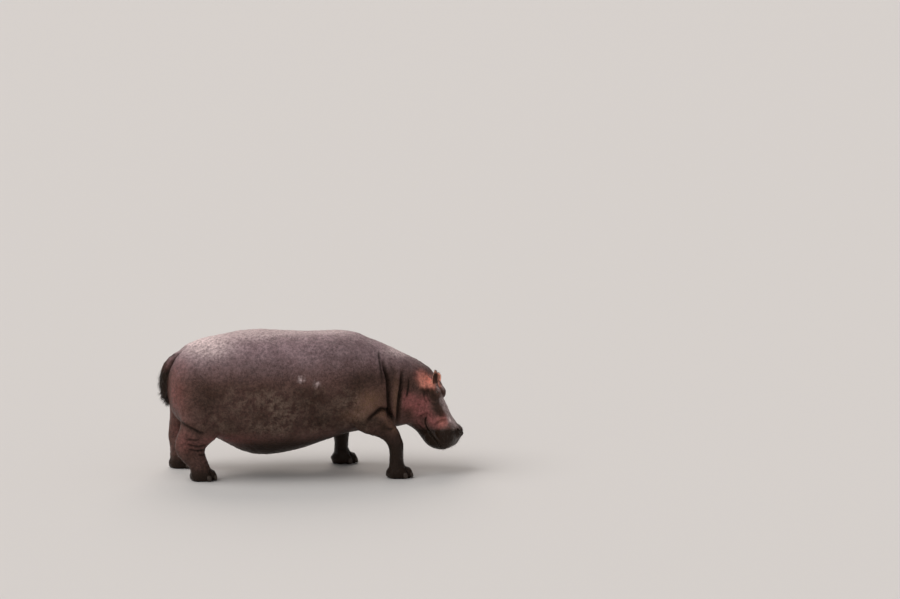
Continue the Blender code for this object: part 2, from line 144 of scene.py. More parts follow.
# %% [markdown]
# ## The head's own frame
# Lids, nostrils and lips are easiest to place in the head's own directions: along the face from the poll to the lips,
# to the animal's left, and up out of the forehead. The head hangs sixty degrees below level and turns to the right.
# The two eye solids say where it is.

# %% Head frame
HEAD_YAW, HEAD_DROP, HEAD_TWIST = radians(-11.5), radians(60), radians(-10)
HEAD_TURN = (
    Matrix.Rotation(HEAD_YAW, 3, "Z") @ Matrix.Rotation(HEAD_DROP, 3, "Y") @ Matrix.Rotation(HEAD_TWIST, 3, "Z")
)
EYE_ALONG, EYE_UP, EYE_RADIUS = 0.012, 0.104, 0.024


def middle(node):
    """The centre of a node's box."""
    low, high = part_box(node)
    return (Vector(low) + Vector(high)) / 2


EYES = {word: middle("eye_" + word) for word in SIDES}
HEAD_PLACE = (EYES["left"] + EYES["right"]) / 2 - HEAD_TURN @ Vector((EYE_ALONG, 0, EYE_UP))
HEAD_AXES = np.array(HEAD_TURN)


def in_head(points):
    """Points of the shared frame, as along, left and up in the head."""
    return (points - np.array(HEAD_PLACE)) @ HEAD_AXES


def from_head(along, left, up):
    """The place in the shared frame of a point given as along, left and up in the head."""
    return HEAD_PLACE + HEAD_TURN @ Vector((along, left, up))


print("head at", tuple(round(v, 4) for v in HEAD_PLACE))

# %% [markdown]
# ## The skin
# A real hide is one surface, so the flesh solids are copied, grown by a hair so that their cuts close, and fused by a
# voxel remesh into a single closed skin. The remesh gives an even grain that can be modelled like clay. The solids'
# flat facets are then smoothed away, hard on the broad trunk and hardly at all on the face, ears and toes.

# %% Fuse the flesh
LIMBS = [part + "_" + word for part in ("foreleg", "forefoot", "hindleg", "hindfoot") for word in SIDES]
FLESH = ["trunk", "neck", "head", "jaw", "tail", "ear_left", "ear_right", *LIMBS]
GRAIN = 0.006  # side of the remesh's cells
OVERLAP = 0.001  # how far each solid is grown, so that it reaches into its neighbour
EAR_SPARE = 0.003  # the same for the thin ears
MERGE = 0.00001


def clean_copy(node, grow):
    """A node's triangles merged at their corners, and moved outwards."""
    shape = bmesh.new()
    shape.from_mesh(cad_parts[node].data)
    bmesh.ops.remove_doubles(shape, verts=shape.verts, dist=MERGE)
    shape.normal_update()
    for corner, normal in [(v, v.normal.copy()) for v in shape.verts]:
        corner.co += normal * grow
    mesh = bpy.data.meshes.new(node + "_copy")
    shape.to_mesh(mesh)
    shape.free()
    return mesh


def fused(nodes, grain):
    """One closed mesh round all the nodes, with an even grain."""
    clay = bmesh.new()
    for node in nodes:
        clay.from_mesh(clean_copy(node, EAR_SPARE if node.startswith("ear") else OVERLAP))
    mesh = bpy.data.meshes.new("clay")
    clay.to_mesh(mesh)
    clay.free()
    obj = into_scene("clay", mesh)
    remesh = obj.modifiers.new("fuse", "REMESH")
    remesh.mode = "VOXEL"
    remesh.voxel_size = grain
    return settled(obj)


skin_mesh = fused(FLESH + ["eye_left", "eye_right"], GRAIN)
print("fused skin:", len(skin_mesh.vertices), "points")


# %% Only its outer shell
def outer_shell(mesh):
    """Removes small shells that the remesh may leave inside, at the cuts between the solids."""
    shape = bmesh.new()
    shape.from_mesh(mesh)
    left = set(shape.verts)
    shells = []
    while left:
        found = [left.pop()]
        for corner in found:
            for edge in corner.link_edges:
                other = edge.other_vert(corner)
                if other in left:
                    left.remove(other)
                    found.append(other)
        shells.append(found)
    shells.sort(key=len)
    bmesh.ops.delete(shape, geom=[v for shell in shells[:-1] for v in shell], context="VERTS")
    shape.to_mesh(mesh)
    shape.free()
    return len(shells) - 1


print("inner shells removed:", outer_shell(skin_mesh))


# %% Reading and writing points
def points_of(mesh):
    found = np.empty(len(mesh.vertices) * 3)
    mesh.vertices.foreach_get("co", found)
    return found.reshape(-1, 3)


def normals_of(mesh):
    found = np.empty(len(mesh.vertices) * 3)
    mesh.vertices.foreach_get("normal", found)
    return found.reshape(-1, 3)


def move_points(mesh, points):
    mesh.vertices.foreach_set("co", points.ravel())
    mesh.update()


def neighbour_mean(mesh, values):
    """For each point, the mean of a value over the points it shares an edge with."""
    ends = np.empty(len(mesh.edges) * 2, int)
    mesh.edges.foreach_get("vertices", ends)
    ends = ends.reshape(-1, 2)
    total, count = np.zeros_like(values), np.zeros(len(values))
    for a, b in ((0, 1), (1, 0)):
        np.add.at(total, ends[:, a], values[ends[:, b]])
        np.add.at(count, ends[:, a], 1)
    return total / count[:, None]


def relaxed(mesh, weights, times):
    """Moves points towards the middle of their neighbours."""
    for _round in range(times):
        spots = points_of(mesh)
        spots += (neighbour_mean(mesh, spots) - spots) * 0.5 * weights[:, None]
        move_points(mesh, spots)


def weight_group(obj, name, weights, steps=24):
    """A vertex group from an array, in even steps so that it fills quickly."""
    group = obj.vertex_groups.new(name=name)
    level = np.rint(np.clip(weights, 0, 1) * steps).astype(int)
    for step in range(1, steps + 1):
        group.add(np.flatnonzero(level == step).tolist(), step / steps, "REPLACE")
    return name


# %% Smooth the facets away
def near_box(points, node, margin):
    """1 inside a node's box, falling to 0 at margin outside it."""
    low, high = (np.array(c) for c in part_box(node))
    away = np.maximum(np.maximum(low - points, points - high), 0)
    return 1 - ease(np.linalg.norm(away, axis=1), 0, margin)


def face_nearness(points):
    """1 on the face, falling to 0 over the neck."""
    along = in_head(points)[:, 0]
    return ease(along, -0.24, -0.06) * ease(points[:, 0], 0.90, 0.98)


place = points_of(skin_mesh)
firm = np.maximum(near_box(place, "ear_left", 0.02), near_box(place, "ear_right", 0.02))
face = face_nearness(place)
feet = 1 - ease(place[:, 2], 0.14, 0.24)
tail = near_box(place, "tail", 0.01) * ease(-place[:, 0], 1.44, 1.50)
legs = (1 - ease(place[:, 2], 0.40, 0.60)) * (np.abs(place[:, 1]) > 0.14)
clay = into_scene("clay", skin_mesh)
broad = weight_group(clay, "broad", (1 - firm) * (1 - face) * (1 - feet) * (1 - tail))
loose = weight_group(clay, "loose", 1 - firm)
limbs = weight_group(clay, "limbs", legs * (1 - face) * (1 - 0.6 * feet))
BROAD_ROUNDS, LIMB_ROUNDS, LOOSE_ROUNDS = 90, 15, 8
for group, times in ((broad, BROAD_ROUNDS), (limbs, LIMB_ROUNDS), (loose, LOOSE_ROUNDS)):
    smooth = clay.modifiers.new("smooth", "SMOOTH")
    smooth.factor = 0.5
    smooth.iterations = times
    smooth.vertex_group = group
skin_mesh = settled(clay)
print("smoothed, size", np.ptp(points_of(skin_mesh), axis=0).round(3))


# %% A finer grain where the face needs it
def divided(mesh, chosen):
    """Divides the faces whose corners are all chosen once across each edge."""
    shape = bmesh.new()
    shape.from_mesh(mesh)
    shape.verts.ensure_lookup_table()
    picked = set(np.flatnonzero(chosen).tolist())
    faces = [f for f in shape.faces if all(v.index in picked for v in f.verts)]
    edges = list({e for f in faces for e in f.edges})
    bmesh.ops.subdivide_edges(shape, edges=edges, cuts=1, use_grid_fill=True)
    ngons = [f for f in shape.faces if len(f.verts) > 4]
    bmesh.ops.triangulate(shape, faces=ngons)
    shape.to_mesh(mesh)
    shape.free()


def distance_to(points, centre):
    return np.linalg.norm(points - np.array(centre), axis=1)


NOSTRIL = (0.462, 0.084, 0.105)  # along, out to either side, and up in the head
FINE_REACH, FINEST_REACH = 0.085, 0.050
for reach, ears in ((FINE_REACH, True), (FINEST_REACH, False)):
    place = points_of(skin_mesh)
    near = np.zeros(len(place), bool)
    for word, side in SIDES.items():
        near |= distance_to(place, EYES[word]) < reach
        near |= distance_to(place, from_head(NOSTRIL[0], side * NOSTRIL[1], NOSTRIL[2])) < reach
        near |= near_box(place, "ear_" + word, 0.01) > 0.5 * (1 + (not ears))
    divided(skin_mesh, near)
print("with fine patches:", len(skin_mesh.vertices), "points")

# %% [markdown]
# ## Ears
# An ear's rim is thinner than the grain of the remesh, which leaves it ragged. So the ear was fused a little too fat,
# and each of its points now goes back to the nearest point of a smooth copy of the ear's own solid. Near the root the
# pull fades out, so that the ear still grows out of the head.

# %% Ears back on their solids
EAR_ROOT = (-0.068, 0.160, 0.112)  # along, out to either side, and up in the head
EARS = {  # the way from root to tip, and the way the cup opens: the right ear is pricked, the left one laid back
    -1: ((-0.73, -0.33, 0.59), (0.32, -0.80, 0.51)),
    1: ((-0.80, 0.60, -0.05), (0.35, 0.45, 0.80)),
}
EAR_LENGTH = 0.162
NEAR_EAR = 0.012  # points farther than this from the solid are left alone


def ear_axis(side):
    """An ear's root, and the unit direction from it to the tip."""
    root = from_head(EAR_ROOT[0], side * EAR_ROOT[1], EAR_ROOT[2])
    return root, HEAD_TURN @ Vector(EARS[side][0]).normalized()


def into_cup(normals, side):
    """1 for normals that look the way an ear's cup opens, and -1 for those at its back."""
    run, face = (HEAD_TURN @ Vector(way).normalized() for way in EARS[side])
    face = (face - run * face.dot(run)).normalized()
    return normals @ np.array(face)


def along_ear(points, side):
    """0 at an ear's root and 1 at its tip."""
    root, run = ear_axis(side)
    return (points - np.array(root)) @ np.array(run) / EAR_LENGTH


def closeness(points, node, reach):
    """1 on a node's own surface, falling to 0 at reach from it."""
    shape = clean_copy(node, 0.0)
    solid = BVHTree.FromPolygons([v.co for v in shape.vertices], [p.vertices for p in shape.polygons])
    found = np.zeros(len(points))
    for i in np.flatnonzero(near_box(points, node, 2 * reach) > 0):
        distance = solid.find_nearest(Vector(points[i]))[3]
        found[i] = 1 - ease(distance, 0.4 * reach, reach)
    return found


def smooth_solid(node):
    """A search tree over a smooth copy of a node."""
    obj = into_scene("smooth_copy", clean_copy(node, 0.0004))
    finer = obj.modifiers.new("finer", "SUBSURF")
    finer.levels = finer.render_levels = 2
    mesh = settled(obj)
    return BVHTree.FromPolygons([v.co for v in mesh.vertices], [p.vertices for p in mesh.polygons])


place = points_of(skin_mesh)
moved = 0
for word, side in SIDES.items():
    solid = smooth_solid("ear_" + word)
    at = along_ear(place, side)
    pull = ease(at, -0.02, 0.16)
    for i in np.flatnonzero((near_box(place, "ear_" + word, NEAR_EAR) > 0.2) & (pull > 0)):
        spot, _normal, _face, distance = solid.find_nearest(Vector(place[i]))
        if distance < NEAR_EAR:
            place[i] += (np.array(spot) - place[i]) * pull[i]
            moved += 1
move_points(skin_mesh, place)
print("points set back on the ears:", moved)

# %% [markdown]
# ## Folds
# A hippopotamus carries its hide in heavy folds: two behind the jowl, one where the shoulder slides over the forearm,
# one across the thigh. Each is a line seen from the side. The skin sinks along it and rolls up beside it, and the fold
# dies out at both ends. Sculpting by brush would do the same, but a line with a width and a depth can be read and
# changed.


# %% Lines across the hide
def through(stations, count=40):
    """Catmull-Rom points through a few stations."""
    rows = np.array(stations, float)
    padded = np.vstack([2 * rows[0] - rows[1], rows, 2 * rows[-1] - rows[-2]])
    found = []
    for at in np.linspace(0, len(rows) - 1, count):
        i = min(int(at), len(rows) - 2)
        t = at - i
        a, b, c, d = padded[i : i + 4]
        curve = 2 * b + (c - a) * t + (2 * a - 5 * b + 4 * c - d) * t**2 + (3 * b - a - 3 * c + d) * t**3
        found.append(curve / 2)
    return np.array(found)


def beside(flat, line):
    """For flat points: distance to a line, positive on its left, and how far along it they lie, 0 to 1."""
    best = np.full(len(flat), 9.0)
    signed, along = np.full(len(flat), 9.0), np.zeros(len(flat))
    steps = np.diff(line, axis=0)
    lengths = np.hypot(*steps.T)
    gone = np.concatenate([[0], np.cumsum(lengths)])
    for start, step, length, before in zip(line, steps, lengths, gone):
        offset = flat - start
        t = np.clip(offset @ step / length**2, 0, 1)
        apart = offset - t[:, None] * step
        distance = np.hypot(*apart.T)
        closer = distance < best
        cross = step[0] * offset[:, 1] - step[1] * offset[:, 0]
        best[closer] = distance[closer]
        signed[closer] = (np.sign(cross) * distance)[closer]
        along[closer] = ((before + t * length) / gone[-1])[closer]
    return signed, along


CREASE_REACH = 5  # in widths of the crease, as are the next two
ROLL_OFFSET, ROLL_WIDTH = 2.1, 1.3
SHADE_GAIN = 1.6


def crease(flat, stations, width, depth, roll=(0.0, 0.0), fade=0.2):
    """Height and shade of a crease: it sinks by depth, and rolls up on its left and right sides."""
    line = through(stations)
    height, shade = np.zeros(len(flat)), np.zeros(len(flat))
    margin = CREASE_REACH * width
    near = np.all((flat > line.min(0) - margin) & (flat < line.max(0) + margin), axis=1)
    signed, along = beside(flat[near], line)
    taper = ease(along, 0, fade) * ease(1 - along, 0, fade)
    pit = np.exp(-((signed / width) ** 2))
    left = roll[0] * np.exp(-(((signed - ROLL_OFFSET * width) / (ROLL_WIDTH * width)) ** 2))
    right = roll[1] * np.exp(-(((signed + ROLL_OFFSET * width) / (ROLL_WIDTH * width)) ** 2))
    height[near] = taper * (left + right - depth * pit)
    shade[near] = taper * np.minimum(SHADE_GAIN * pit, 1)
    return height, shade


# %% The body's folds
RIGHT_FOLDS = [
    # the line's x and z, then width, depth and the rolls on its left and right
    (((0.690, 1.240), (0.718, 1.090), (0.742, 0.985), (0.750, 0.836), (0.760, 0.540)), 0.020, 0.042, (0.008, 0.016)),
    (((0.905, 1.130), (0.897, 1.040), (0.881, 0.920), (0.861, 0.768), (0.838, 0.460)), 0.017, 0.033, (0.012, 0.010)),
    (((0.668, 1.318), (0.662, 1.200), (0.668, 1.105), (0.694, 0.935)), 0.010, 0.007, (0.002, 0.002)),
    (((0.826, 0.490), (0.804, 0.560), (0.775, 0.625), (0.738, 0.685), (0.685, 0.708), (0.628, 0.694), (0.557, 0.645),
      (0.490, 0.560)), 0.018, 0.030, (0.000, 0.012)),
    (((-1.400, 0.626), (-1.350, 0.608), (-1.297, 0.584), (-1.236, 0.557), (-1.174, 0.522), (-1.100, 0.503)),
     0.015, 0.015, (0.007, 0.0)),
    (((0.380, 0.560), (0.420, 0.500), (0.500, 0.465)), 0.012, 0.012, (0.004, 0.0)),
    (((0.965, 1.010), (0.958, 0.900), (0.935, 0.780)), 0.010, 0.006, (0.002, 0.002)),
    (((0.700, 0.545), (0.745, 0.520), (0.800, 0.520)), 0.008, 0.006, (0.002, 0.002)),
    (((-1.080, 0.395), (-1.150, 0.372), (-1.230, 0.380), (-1.330, 0.410)), 0.010, 0.008, (0.003, 0.003)),
    (((-1.090, 0.345), (-1.150, 0.325), (-1.220, 0.330), (-1.300, 0.350)), 0.009, 0.007, (0.003, 0.003)),
    (((-1.070, 0.290), (-1.130, 0.275), (-1.200, 0.285)), 0.008, 0.006, (0.002, 0.003)),
    (((-1.150, 0.455), (-1.220, 0.440), (-1.320, 0.455)), 0.010, 0.005, (0.002, 0.002)),
]
LEFT_FOLDS = [
    (((0.690, 1.235), (0.715, 1.100), (0.735, 0.985), (0.745, 0.836), (0.735, 0.560)), 0.014, 0.022, (0.006, 0.010)),
    (((0.925, 1.120), (0.930, 1.020), (0.930, 0.880), (0.915, 0.740), (0.890, 0.590)), 0.012, 0.018, (0.006, 0.008)),
    (((0.520, 0.780), (0.500, 0.650), (0.470, 0.540), (0.440, 0.450)), 0.012, 0.014, (0.006, 0.0)),
    (((0.160, 0.720), (0.190, 0.600), (0.235, 0.500), (0.270, 0.430)), 0.012, 0.014, (0.0, 0.006)),
    (((-1.400, 0.600), (-1.320, 0.560), (-1.220, 0.520), (-1.110, 0.500)), 0.015, 0.013, (0.007, 0.0)),
]
FOLD_FADE = 0.22  # the part of a fold's length over which each end dies out
SOFTENING = 4
DEEPEST = 0.048  # where two folds cross, their depths don't add up past this
place, outward = points_of(skin_mesh), normals_of(skin_mesh)
# The shade of each crease is kept and later painted into the hide's colour as dark shade.
height, crease_shade = np.zeros(len(place)), np.zeros(len(place))
for side, lines in ((-1, RIGHT_FOLDS), (1, LEFT_FOLDS)):
    facing = ease(side * outward[:, 1], -0.05, 0.30)
    for stations, width, depth, roll in lines:
        rise, shade = crease(place[:, [0, 2]], stations, width, depth, roll, FOLD_FADE)
        height += rise * facing
        crease_shade = np.maximum(crease_shade, shade * facing)
height = np.maximum(height, -DEEPEST)
move_points(skin_mesh, place + outward * height[:, None])
relaxed(skin_mesh, crease_shade, SOFTENING)
print("folds:", len(RIGHT_FOLDS) + len(LEFT_FOLDS), "deepest", round(-height.min(), 4))

# %% The tail's root
# The groove on each side of the tail's root, by distance from the middle and height.
TAIL_SIDE = ((0.026, 1.285), (0.050, 1.235), (0.056, 1.160), (0.050, 1.080), (0.038, 1.000))
RIDGE_HEIGHT, RIDGE_HALF_WIDTH = 0.012, 0.036
place, outward = points_of(skin_mesh), normals_of(skin_mesh)
behind = ease(-place[:, 0], 1.15, 1.25)
ridge = RIDGE_HEIGHT * np.exp(-((place[:, 1] / RIDGE_HALF_WIDTH) ** 2))
height = ridge * ease(place[:, 2], 1.02, 1.12) * (1 - ease(place[:, 2], 1.22, 1.29)) * behind
for side in (-1, 1):
    rise, shade = crease(place[:, [1, 2]] * (side, 1), TAIL_SIDE, 0.011, 0.016)
    height += rise * behind
    crease_shade = np.maximum(crease_shade, shade * behind)
move_points(skin_mesh, place + outward * height[:, None])
print("tail root stands out by", round(height.max(), 4))

# %% Toes, ankles and the cleft of the rump
TOE_GAPS = (radians(-33), 0.0, radians(33))  # ways of the clefts from the heel
HEEL_BACK, CLEFT_HALF_WIDTH, CLEFT_DEPTH = 0.160, 0.009, 0.014
ANKLE_RINGS = (0.165, 0.192, 0.224, 0.262)
RING_HALF_WIDTH, RING_DEPTH = 0.006, 0.004
RUMP_HALF_WIDTH, RUMP_DEPTH = 0.018, 0.022
place, outward = points_of(skin_mesh), normals_of(skin_mesh)
# Each toe cleft, ankle ring and the rump's cleft is also painted dark, as shade.
height = np.zeros(len(place))
for limb in ("forefoot", "hindfoot"):
    for word in SIDES:
        low, high = (np.array(c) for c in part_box(f"{limb}_{word}"))
        heel = np.array((high[0] - HEEL_BACK, (low[1] + high[1]) / 2))
        flat = place[:, :2] - heel
        round_foot = near_box(place, f"{limb}_{word}", 0.10)
        out, way = np.hypot(*flat.T), np.arctan2(flat[:, 1], flat[:, 0])
        for gap in TOE_GAPS:
            cleft = np.exp(-((out * np.sin(way - gap) / CLEFT_HALF_WIDTH) ** 2)) * (np.cos(way - gap) > 0)
            cleft *= ease(out, 0.055, 0.085) * (1 - ease(place[:, 2], 0.085, 0.125)) * round_foot
            height -= CLEFT_DEPTH * cleft
            crease_shade = np.maximum(crease_shade, cleft)
        for ring in ANKLE_RINGS:
            level = ring + 0.012 * np.sin(way * 2 + ring * 40) + 0.006 * np.sin(way * 5 + ring * 90)
            dent = np.exp(-(((place[:, 2] - level) / RING_HALF_WIDTH) ** 2)) * round_foot
            height -= RING_DEPTH * dent
            crease_shade = np.maximum(crease_shade, 0.4 * dent)
cleft = np.exp(-((place[:, 1] / RUMP_HALF_WIDTH) ** 2)) * ease(-place[:, 0], 1.20, 1.32)
cleft *= ease(place[:, 2], 0.42, 0.58) * (1 - ease(place[:, 2], 0.84, 0.94)) * (1 - near_box(place, "tail", 0.01))
height -= RUMP_DEPTH * cleft
crease_shade = np.maximum(crease_shade, cleft)
move_points(skin_mesh, place + outward * height[:, None])
print("toe clefts:", 4 * len(TOE_GAPS), "ankle rings:", 4 * len(ANKLE_RINGS))

# %% [markdown]
# ## Lids, nostrils and lips
# The eyeball sits deep in its brow. Around its centre the skin is a simple thing: for every direction it has one
# distance from the eye's middle. Inside the almond of the opening that distance is less than the eyeball's radius, so
# the ball shows. Outside it the distance is a little more, which makes a lid of even thickness.


# %% Eyelids
def eye_axes(side):
    """The eye's own directions: the way it looks, forwards along its slit, and up across the slit."""
    look = (HEAD_TURN @ Vector((0.18, side * 0.93, 0.34))).normalized()
    slit = HEAD_TURN @ Vector((0.93, side * 0.05, -0.05))
    slit = (slit - look * slit.dot(look)).normalized()
    rise = look.cross(slit).normalized()
    if rise.dot(HEAD_TURN @ Vector((0, 0, 1))) < 0:
        rise = -rise
    return np.array(look), np.array(slit), np.array(rise)


LID_THICK = 0.0035
LID_REACH = 0.100
LID_BLEND = 0.006
OPEN_ALONG, OPEN_ABOVE, OPEN_BELOW = radians(45), radians(23), radians(24)
ALMOND = 1.7  # the power that gives the opening its corners, where 2 would be an oval
OPENING_DEPTH = 0.0045  # how far the skin lies under the ball's surface inside the opening
LID_FOLDS = (  # how far out in openings, the depth, the width, and the share of it that is kept above the slit
    (1.75, 0.0028, 0.15, 0.7),
    (2.45, 0.0030, 0.20, 1.0),
    (3.20, 0.0020, 0.24, 1.0),
)


def with_lids(points, word, side):
    """Moves the skin round one eye in or out from the eyeball's centre."""
    centre = np.array(EYES[word])
    look, slit, rise = eye_axes(side)
    near = distance_to(points, centre) < LID_REACH
    offset = points[near] - centre
    reach = np.linalg.norm(offset, axis=1)
    heading = offset / reach[:, None]
    polar = np.arccos(np.clip(heading @ look, -1, 1))
    x, y = heading @ slit, heading @ rise
    size = np.hypot(x, y) + 1e-9
    tall = np.where(y > 0, OPEN_ABOVE, OPEN_BELOW)
    edge = (np.abs(x / size / OPEN_ALONG) ** ALMOND + np.abs(y / size / tall) ** ALMOND) ** (-1 / ALMOND)
    beyond = polar - edge
    outer = reach + 0.006 * np.exp(-((reach - 0.03) / 0.03) ** 2) * ease(1.9 - polar, 0, 0.5)
    lid = EYE_RADIUS + LID_THICK * (0.3 + 0.7 * ease(beyond, 0, 0.14)) + 0.0035 * ease(beyond, 0.1, 0.5)
    mix = np.clip(0.5 + 0.5 * (lid - outer) / LID_BLEND, 0, 1)
    skin = outer * (1 - mix) + lid * mix + LID_BLEND * mix * (1 - mix)
    openings = polar / edge
    for out, depth, width, above in LID_FOLDS:
        dent = depth * np.exp(-(((openings - out) / width) ** 2)) * np.where(y > 0, above, 1.0)
        skin -= dent * ease(2.0 - polar, 0, 0.6)
    wanted = np.where(beyond > 0, skin, EYE_RADIUS - OPENING_DEPTH)
    wanted = np.where(polar < radians(110), wanted, reach)
    moved = points.copy()
    moved[near] = centre + heading * wanted[:, None]
    return moved


place = points_of(skin_mesh)
for word, side in SIDES.items():
    place = with_lids(place, word, side)
move_points(skin_mesh, place)
print("lids round eyes at", [tuple(round(v, 3) for v in EYES[w]) for w in SIDES])

# %% Face creases
# Along and up on the side of the head, then width, depth and rolls. The first is the line of the mouth.
CHEEK_FOLDS = [
    (((0.170, -0.100), (0.215, -0.148), (0.290, -0.160), (0.370, -0.150), (0.450, -0.130), (0.540, -0.121),
      (0.600, -0.120)), 0.007, 0.013, (0.006, 0.002)),
    (((0.315, 0.075), (0.290, 0.015), (0.290, -0.040), (0.300, -0.110)), 0.014, 0.009, (0.002, 0.003)),
    (((0.185, -0.050), (0.150, -0.110), (0.150, -0.170), (0.170, -0.220)), 0.013, 0.008, (0.003, 0.005)),
    (((-0.060, 0.060), (-0.030, 0.020), (0.030, -0.002), (0.090, 0.015), (0.125, 0.045)), 0.007, 0.006, (0.002, 0.002)),
    (((-0.080, 0.045), (-0.040, -0.010), (0.035, -0.035), (0.110, -0.015)), 0.008, 0.005, (0.002, 0.002)),
    (((0.330, -0.190), (0.250, -0.215), (0.160, -0.235)), 0.010, 0.007, (0.0, 0.003)),
    (((0.060, -0.230), (0.000, -0.290), (-0.080, -0.330)), 0.012, 0.008, (0.003, 0.0)),
]
MOUTH_FADE, CHEEK_FADE = 0.06, 0.35
LIP_LINE, LIP_HALF_WIDTH, LIP_DEPTH = -0.121, 0.007, 0.013
GROOVE_HALF_WIDTH, GROOVE_DEPTH = 0.011, 0.006  # the shallow groove between the nostrils
place, outward = points_of(skin_mesh), normals_of(skin_mesh)
head_place, head_out = in_head(place), outward @ HEAD_AXES
on_face = ease(head_place[:, 0], -0.24, -0.16) * ease(place[:, 0], 0.90, 0.96)
height = np.zeros(len(place))
# The face creases and the line of the lips are also painted dark, as shade.
face_crease_shade = np.zeros(len(place))
for side in (-1, 1):
    facing = ease(side * head_out[:, 1], 0.0, 0.35) * on_face
    for number, (stations, width, depth, roll) in enumerate(CHEEK_FOLDS):
        fade = CHEEK_FADE if number else MOUTH_FADE
        rise, shade = crease(head_place[:, [0, 2]], stations, width, depth, roll, fade)
        height += rise * facing
        face_crease_shade = np.maximum(face_crease_shade, shade * facing * (0.5 if number else 1.0))
front = ease(head_out[:, 0], 0.35, 0.75) * on_face * ease(head_place[:, 0], 0.40, 0.46)
lips = np.exp(-(((head_place[:, 2] - LIP_LINE) / LIP_HALF_WIDTH) ** 2))
height -= LIP_DEPTH * lips * front
face_crease_shade = np.maximum(face_crease_shade, lips * front)
groove = np.exp(-((head_place[:, 1] / GROOVE_HALF_WIDTH) ** 2)) * ease(head_place[:, 0], 0.40, 0.46)
groove *= ease(head_place[:, 2], -0.09, 0.02)
height -= GROOVE_DEPTH * groove
move_points(skin_mesh, place + outward * height[:, None])
crease_shade = np.maximum(crease_shade, face_crease_shade)
print("face creases:", len(CHEEK_FOLDS), "on each side")

# %% Nostrils
# Along and out to the side, on the top of the muzzle.
NOSTRIL_SLIT = ((0.425, 0.112), (0.450, 0.104), (0.474, 0.088), (0.490, 0.066))
place, outward = points_of(skin_mesh), normals_of(skin_mesh)
head_place = in_head(place)
on_top = ease(head_place[:, 2], 0.02, 0.06) * ease(head_place[:, 0], 0.36, 0.40)
# The nostrils' slits are also painted dark, as shade.
nostril_shade = np.zeros(len(place))
height = np.zeros(len(place))
for side in (-1, 1):
    flat = head_place[:, [0, 1]] * (1, side)
    rise, shade = crease(flat, NOSTRIL_SLIT, 0.0075, 0.024, (0.006, 0.005), 0.25)
    height += rise * on_top
    nostril_shade = np.maximum(nostril_shade, shade * on_top)
move_points(skin_mesh, place + outward * height[:, None])
crease_shade = np.maximum(crease_shade, nostril_shade)
print("nostrils sunk by", round(-height.min(), 4))

# %% [markdown]
# ## Lumps and wrinkles
# Between the great folds the hide is never flat. Geometry Nodes push each point along its normal by three layers of
# noise: slow lumps of fat and muscle, sagging vertical wrinkles, and on the head a net of finer creases. A named
# attribute says how strong the relief is at each point, so that the lids, nostrils, ears and soles stay clean and the
# face has less of it.


# %% A tree of relief
def node(tree, kind, inputs=None, **settings):
    """Adds a node, sets its properties, and fills or links its inputs."""
    made = tree.nodes.new(kind)
    for name, value in settings.items():
        setattr(made, name, value)
    for key, value in (inputs or {}).items():
        if isinstance(value, bpy.types.NodeSocket):
            tree.links.new(value, made.inputs[key])
        else:
            made.inputs[key].default_value = value
    return made


def maths(tree, operation, a, b=0.0, c=0.0, clamp=False):
    kind = "ShaderNodeMath"
    return node(tree, kind, {0: a, 1: b, 2: c}, operation=operation, use_clamp=clamp).outputs[0]


def relief_tree():
    tree = bpy.data.node_groups.new("hide_relief", "GeometryNodeTree")
    tree.interface.new_socket("Geometry", in_out="INPUT", socket_type="NodeSocketGeometry")
    for name, value in (("Lumps", 0.006), ("Sags", 0.003), ("Net", 0.0016)):
        socket = tree.interface.new_socket(name, in_out="INPUT", socket_type="NodeSocketFloat")
        socket.default_value = value
    tree.interface.new_socket("Geometry", in_out="OUTPUT", socket_type="NodeSocketGeometry")
    given, out = node(tree, "NodeGroupInput"), node(tree, "NodeGroupOutput")
    where = node(tree, "GeometryNodeInputPosition").outputs[0]
    strength = node(tree, "GeometryNodeInputNamedAttribute", {"Name": "relief"}, data_type="FLOAT").outputs[0]
    fine = node(tree, "GeometryNodeInputNamedAttribute", {"Name": "fine"}, data_type="FLOAT").outputs[0]

    lumps = node(tree, "ShaderNodeTexNoise", {"Vector": where, "Scale": 5.0, "Detail": 2.0}).outputs[0]
    lumps = maths(tree, "MULTIPLY", maths(tree, "SUBTRACT", lumps, 0.5), given.outputs["Lumps"])
    stretched = node(tree, "ShaderNodeVectorMath", {0: where, 1: (1.0, 1.0, 0.28)}, operation="MULTIPLY").outputs[0]
    sags = node(tree, "ShaderNodeTexNoise", {"Vector": stretched, "Scale": 19.0, "Detail": 2.0}).outputs[0]
    sags = maths(tree, "ABSOLUTE", maths(tree, "SUBTRACT", sags, 0.5))
    sags = maths(tree, "MULTIPLY", maths(tree, "MULTIPLY", sags, 4.0), given.outputs["Sags"])
    cells = node(tree, "ShaderNodeTexVoronoi", {"Vector": where, "Scale": 34.0}, feature="DISTANCE_TO_EDGE").outputs[0]
    net = maths(tree, "MINIMUM", maths(tree, "MULTIPLY", cells, 4.0), 1.0)
    net = maths(tree, "MULTIPLY", maths(tree, "MULTIPLY", net, fine), given.outputs["Net"])
    total = maths(tree, "ADD", maths(tree, "ADD", lumps, sags), net)
    total = maths(tree, "MULTIPLY", total, strength)
    push = node(tree, "ShaderNodeVectorMath", {0: node(tree, "GeometryNodeInputNormal").outputs[0], "Scale": total},
                operation="SCALE").outputs[0]
    moved = node(tree, "GeometryNodeSetPosition", {"Geometry": given.outputs[0], "Offset": push})
    tree.links.new(moved.outputs[0], out.inputs[0])
    return tree


def with_attribute(mesh, name, values):
    """Stores one number for each point of a mesh."""
    layer = mesh.attributes.new(name, "FLOAT", "POINT")
    layer.data.foreach_set("value", np.asarray(values, np.float32))


def set_inputs(modifier, **values):
    """Sets a Geometry Nodes modifier's inputs, found by name and set by identifier."""
    for item in modifier.node_group.interface.items_tree:
        if item.item_type == "SOCKET" and item.in_out == "INPUT" and item.name.replace(" ", "_") in values:
            modifier[item.identifier] = values[item.name.replace(" ", "_")]


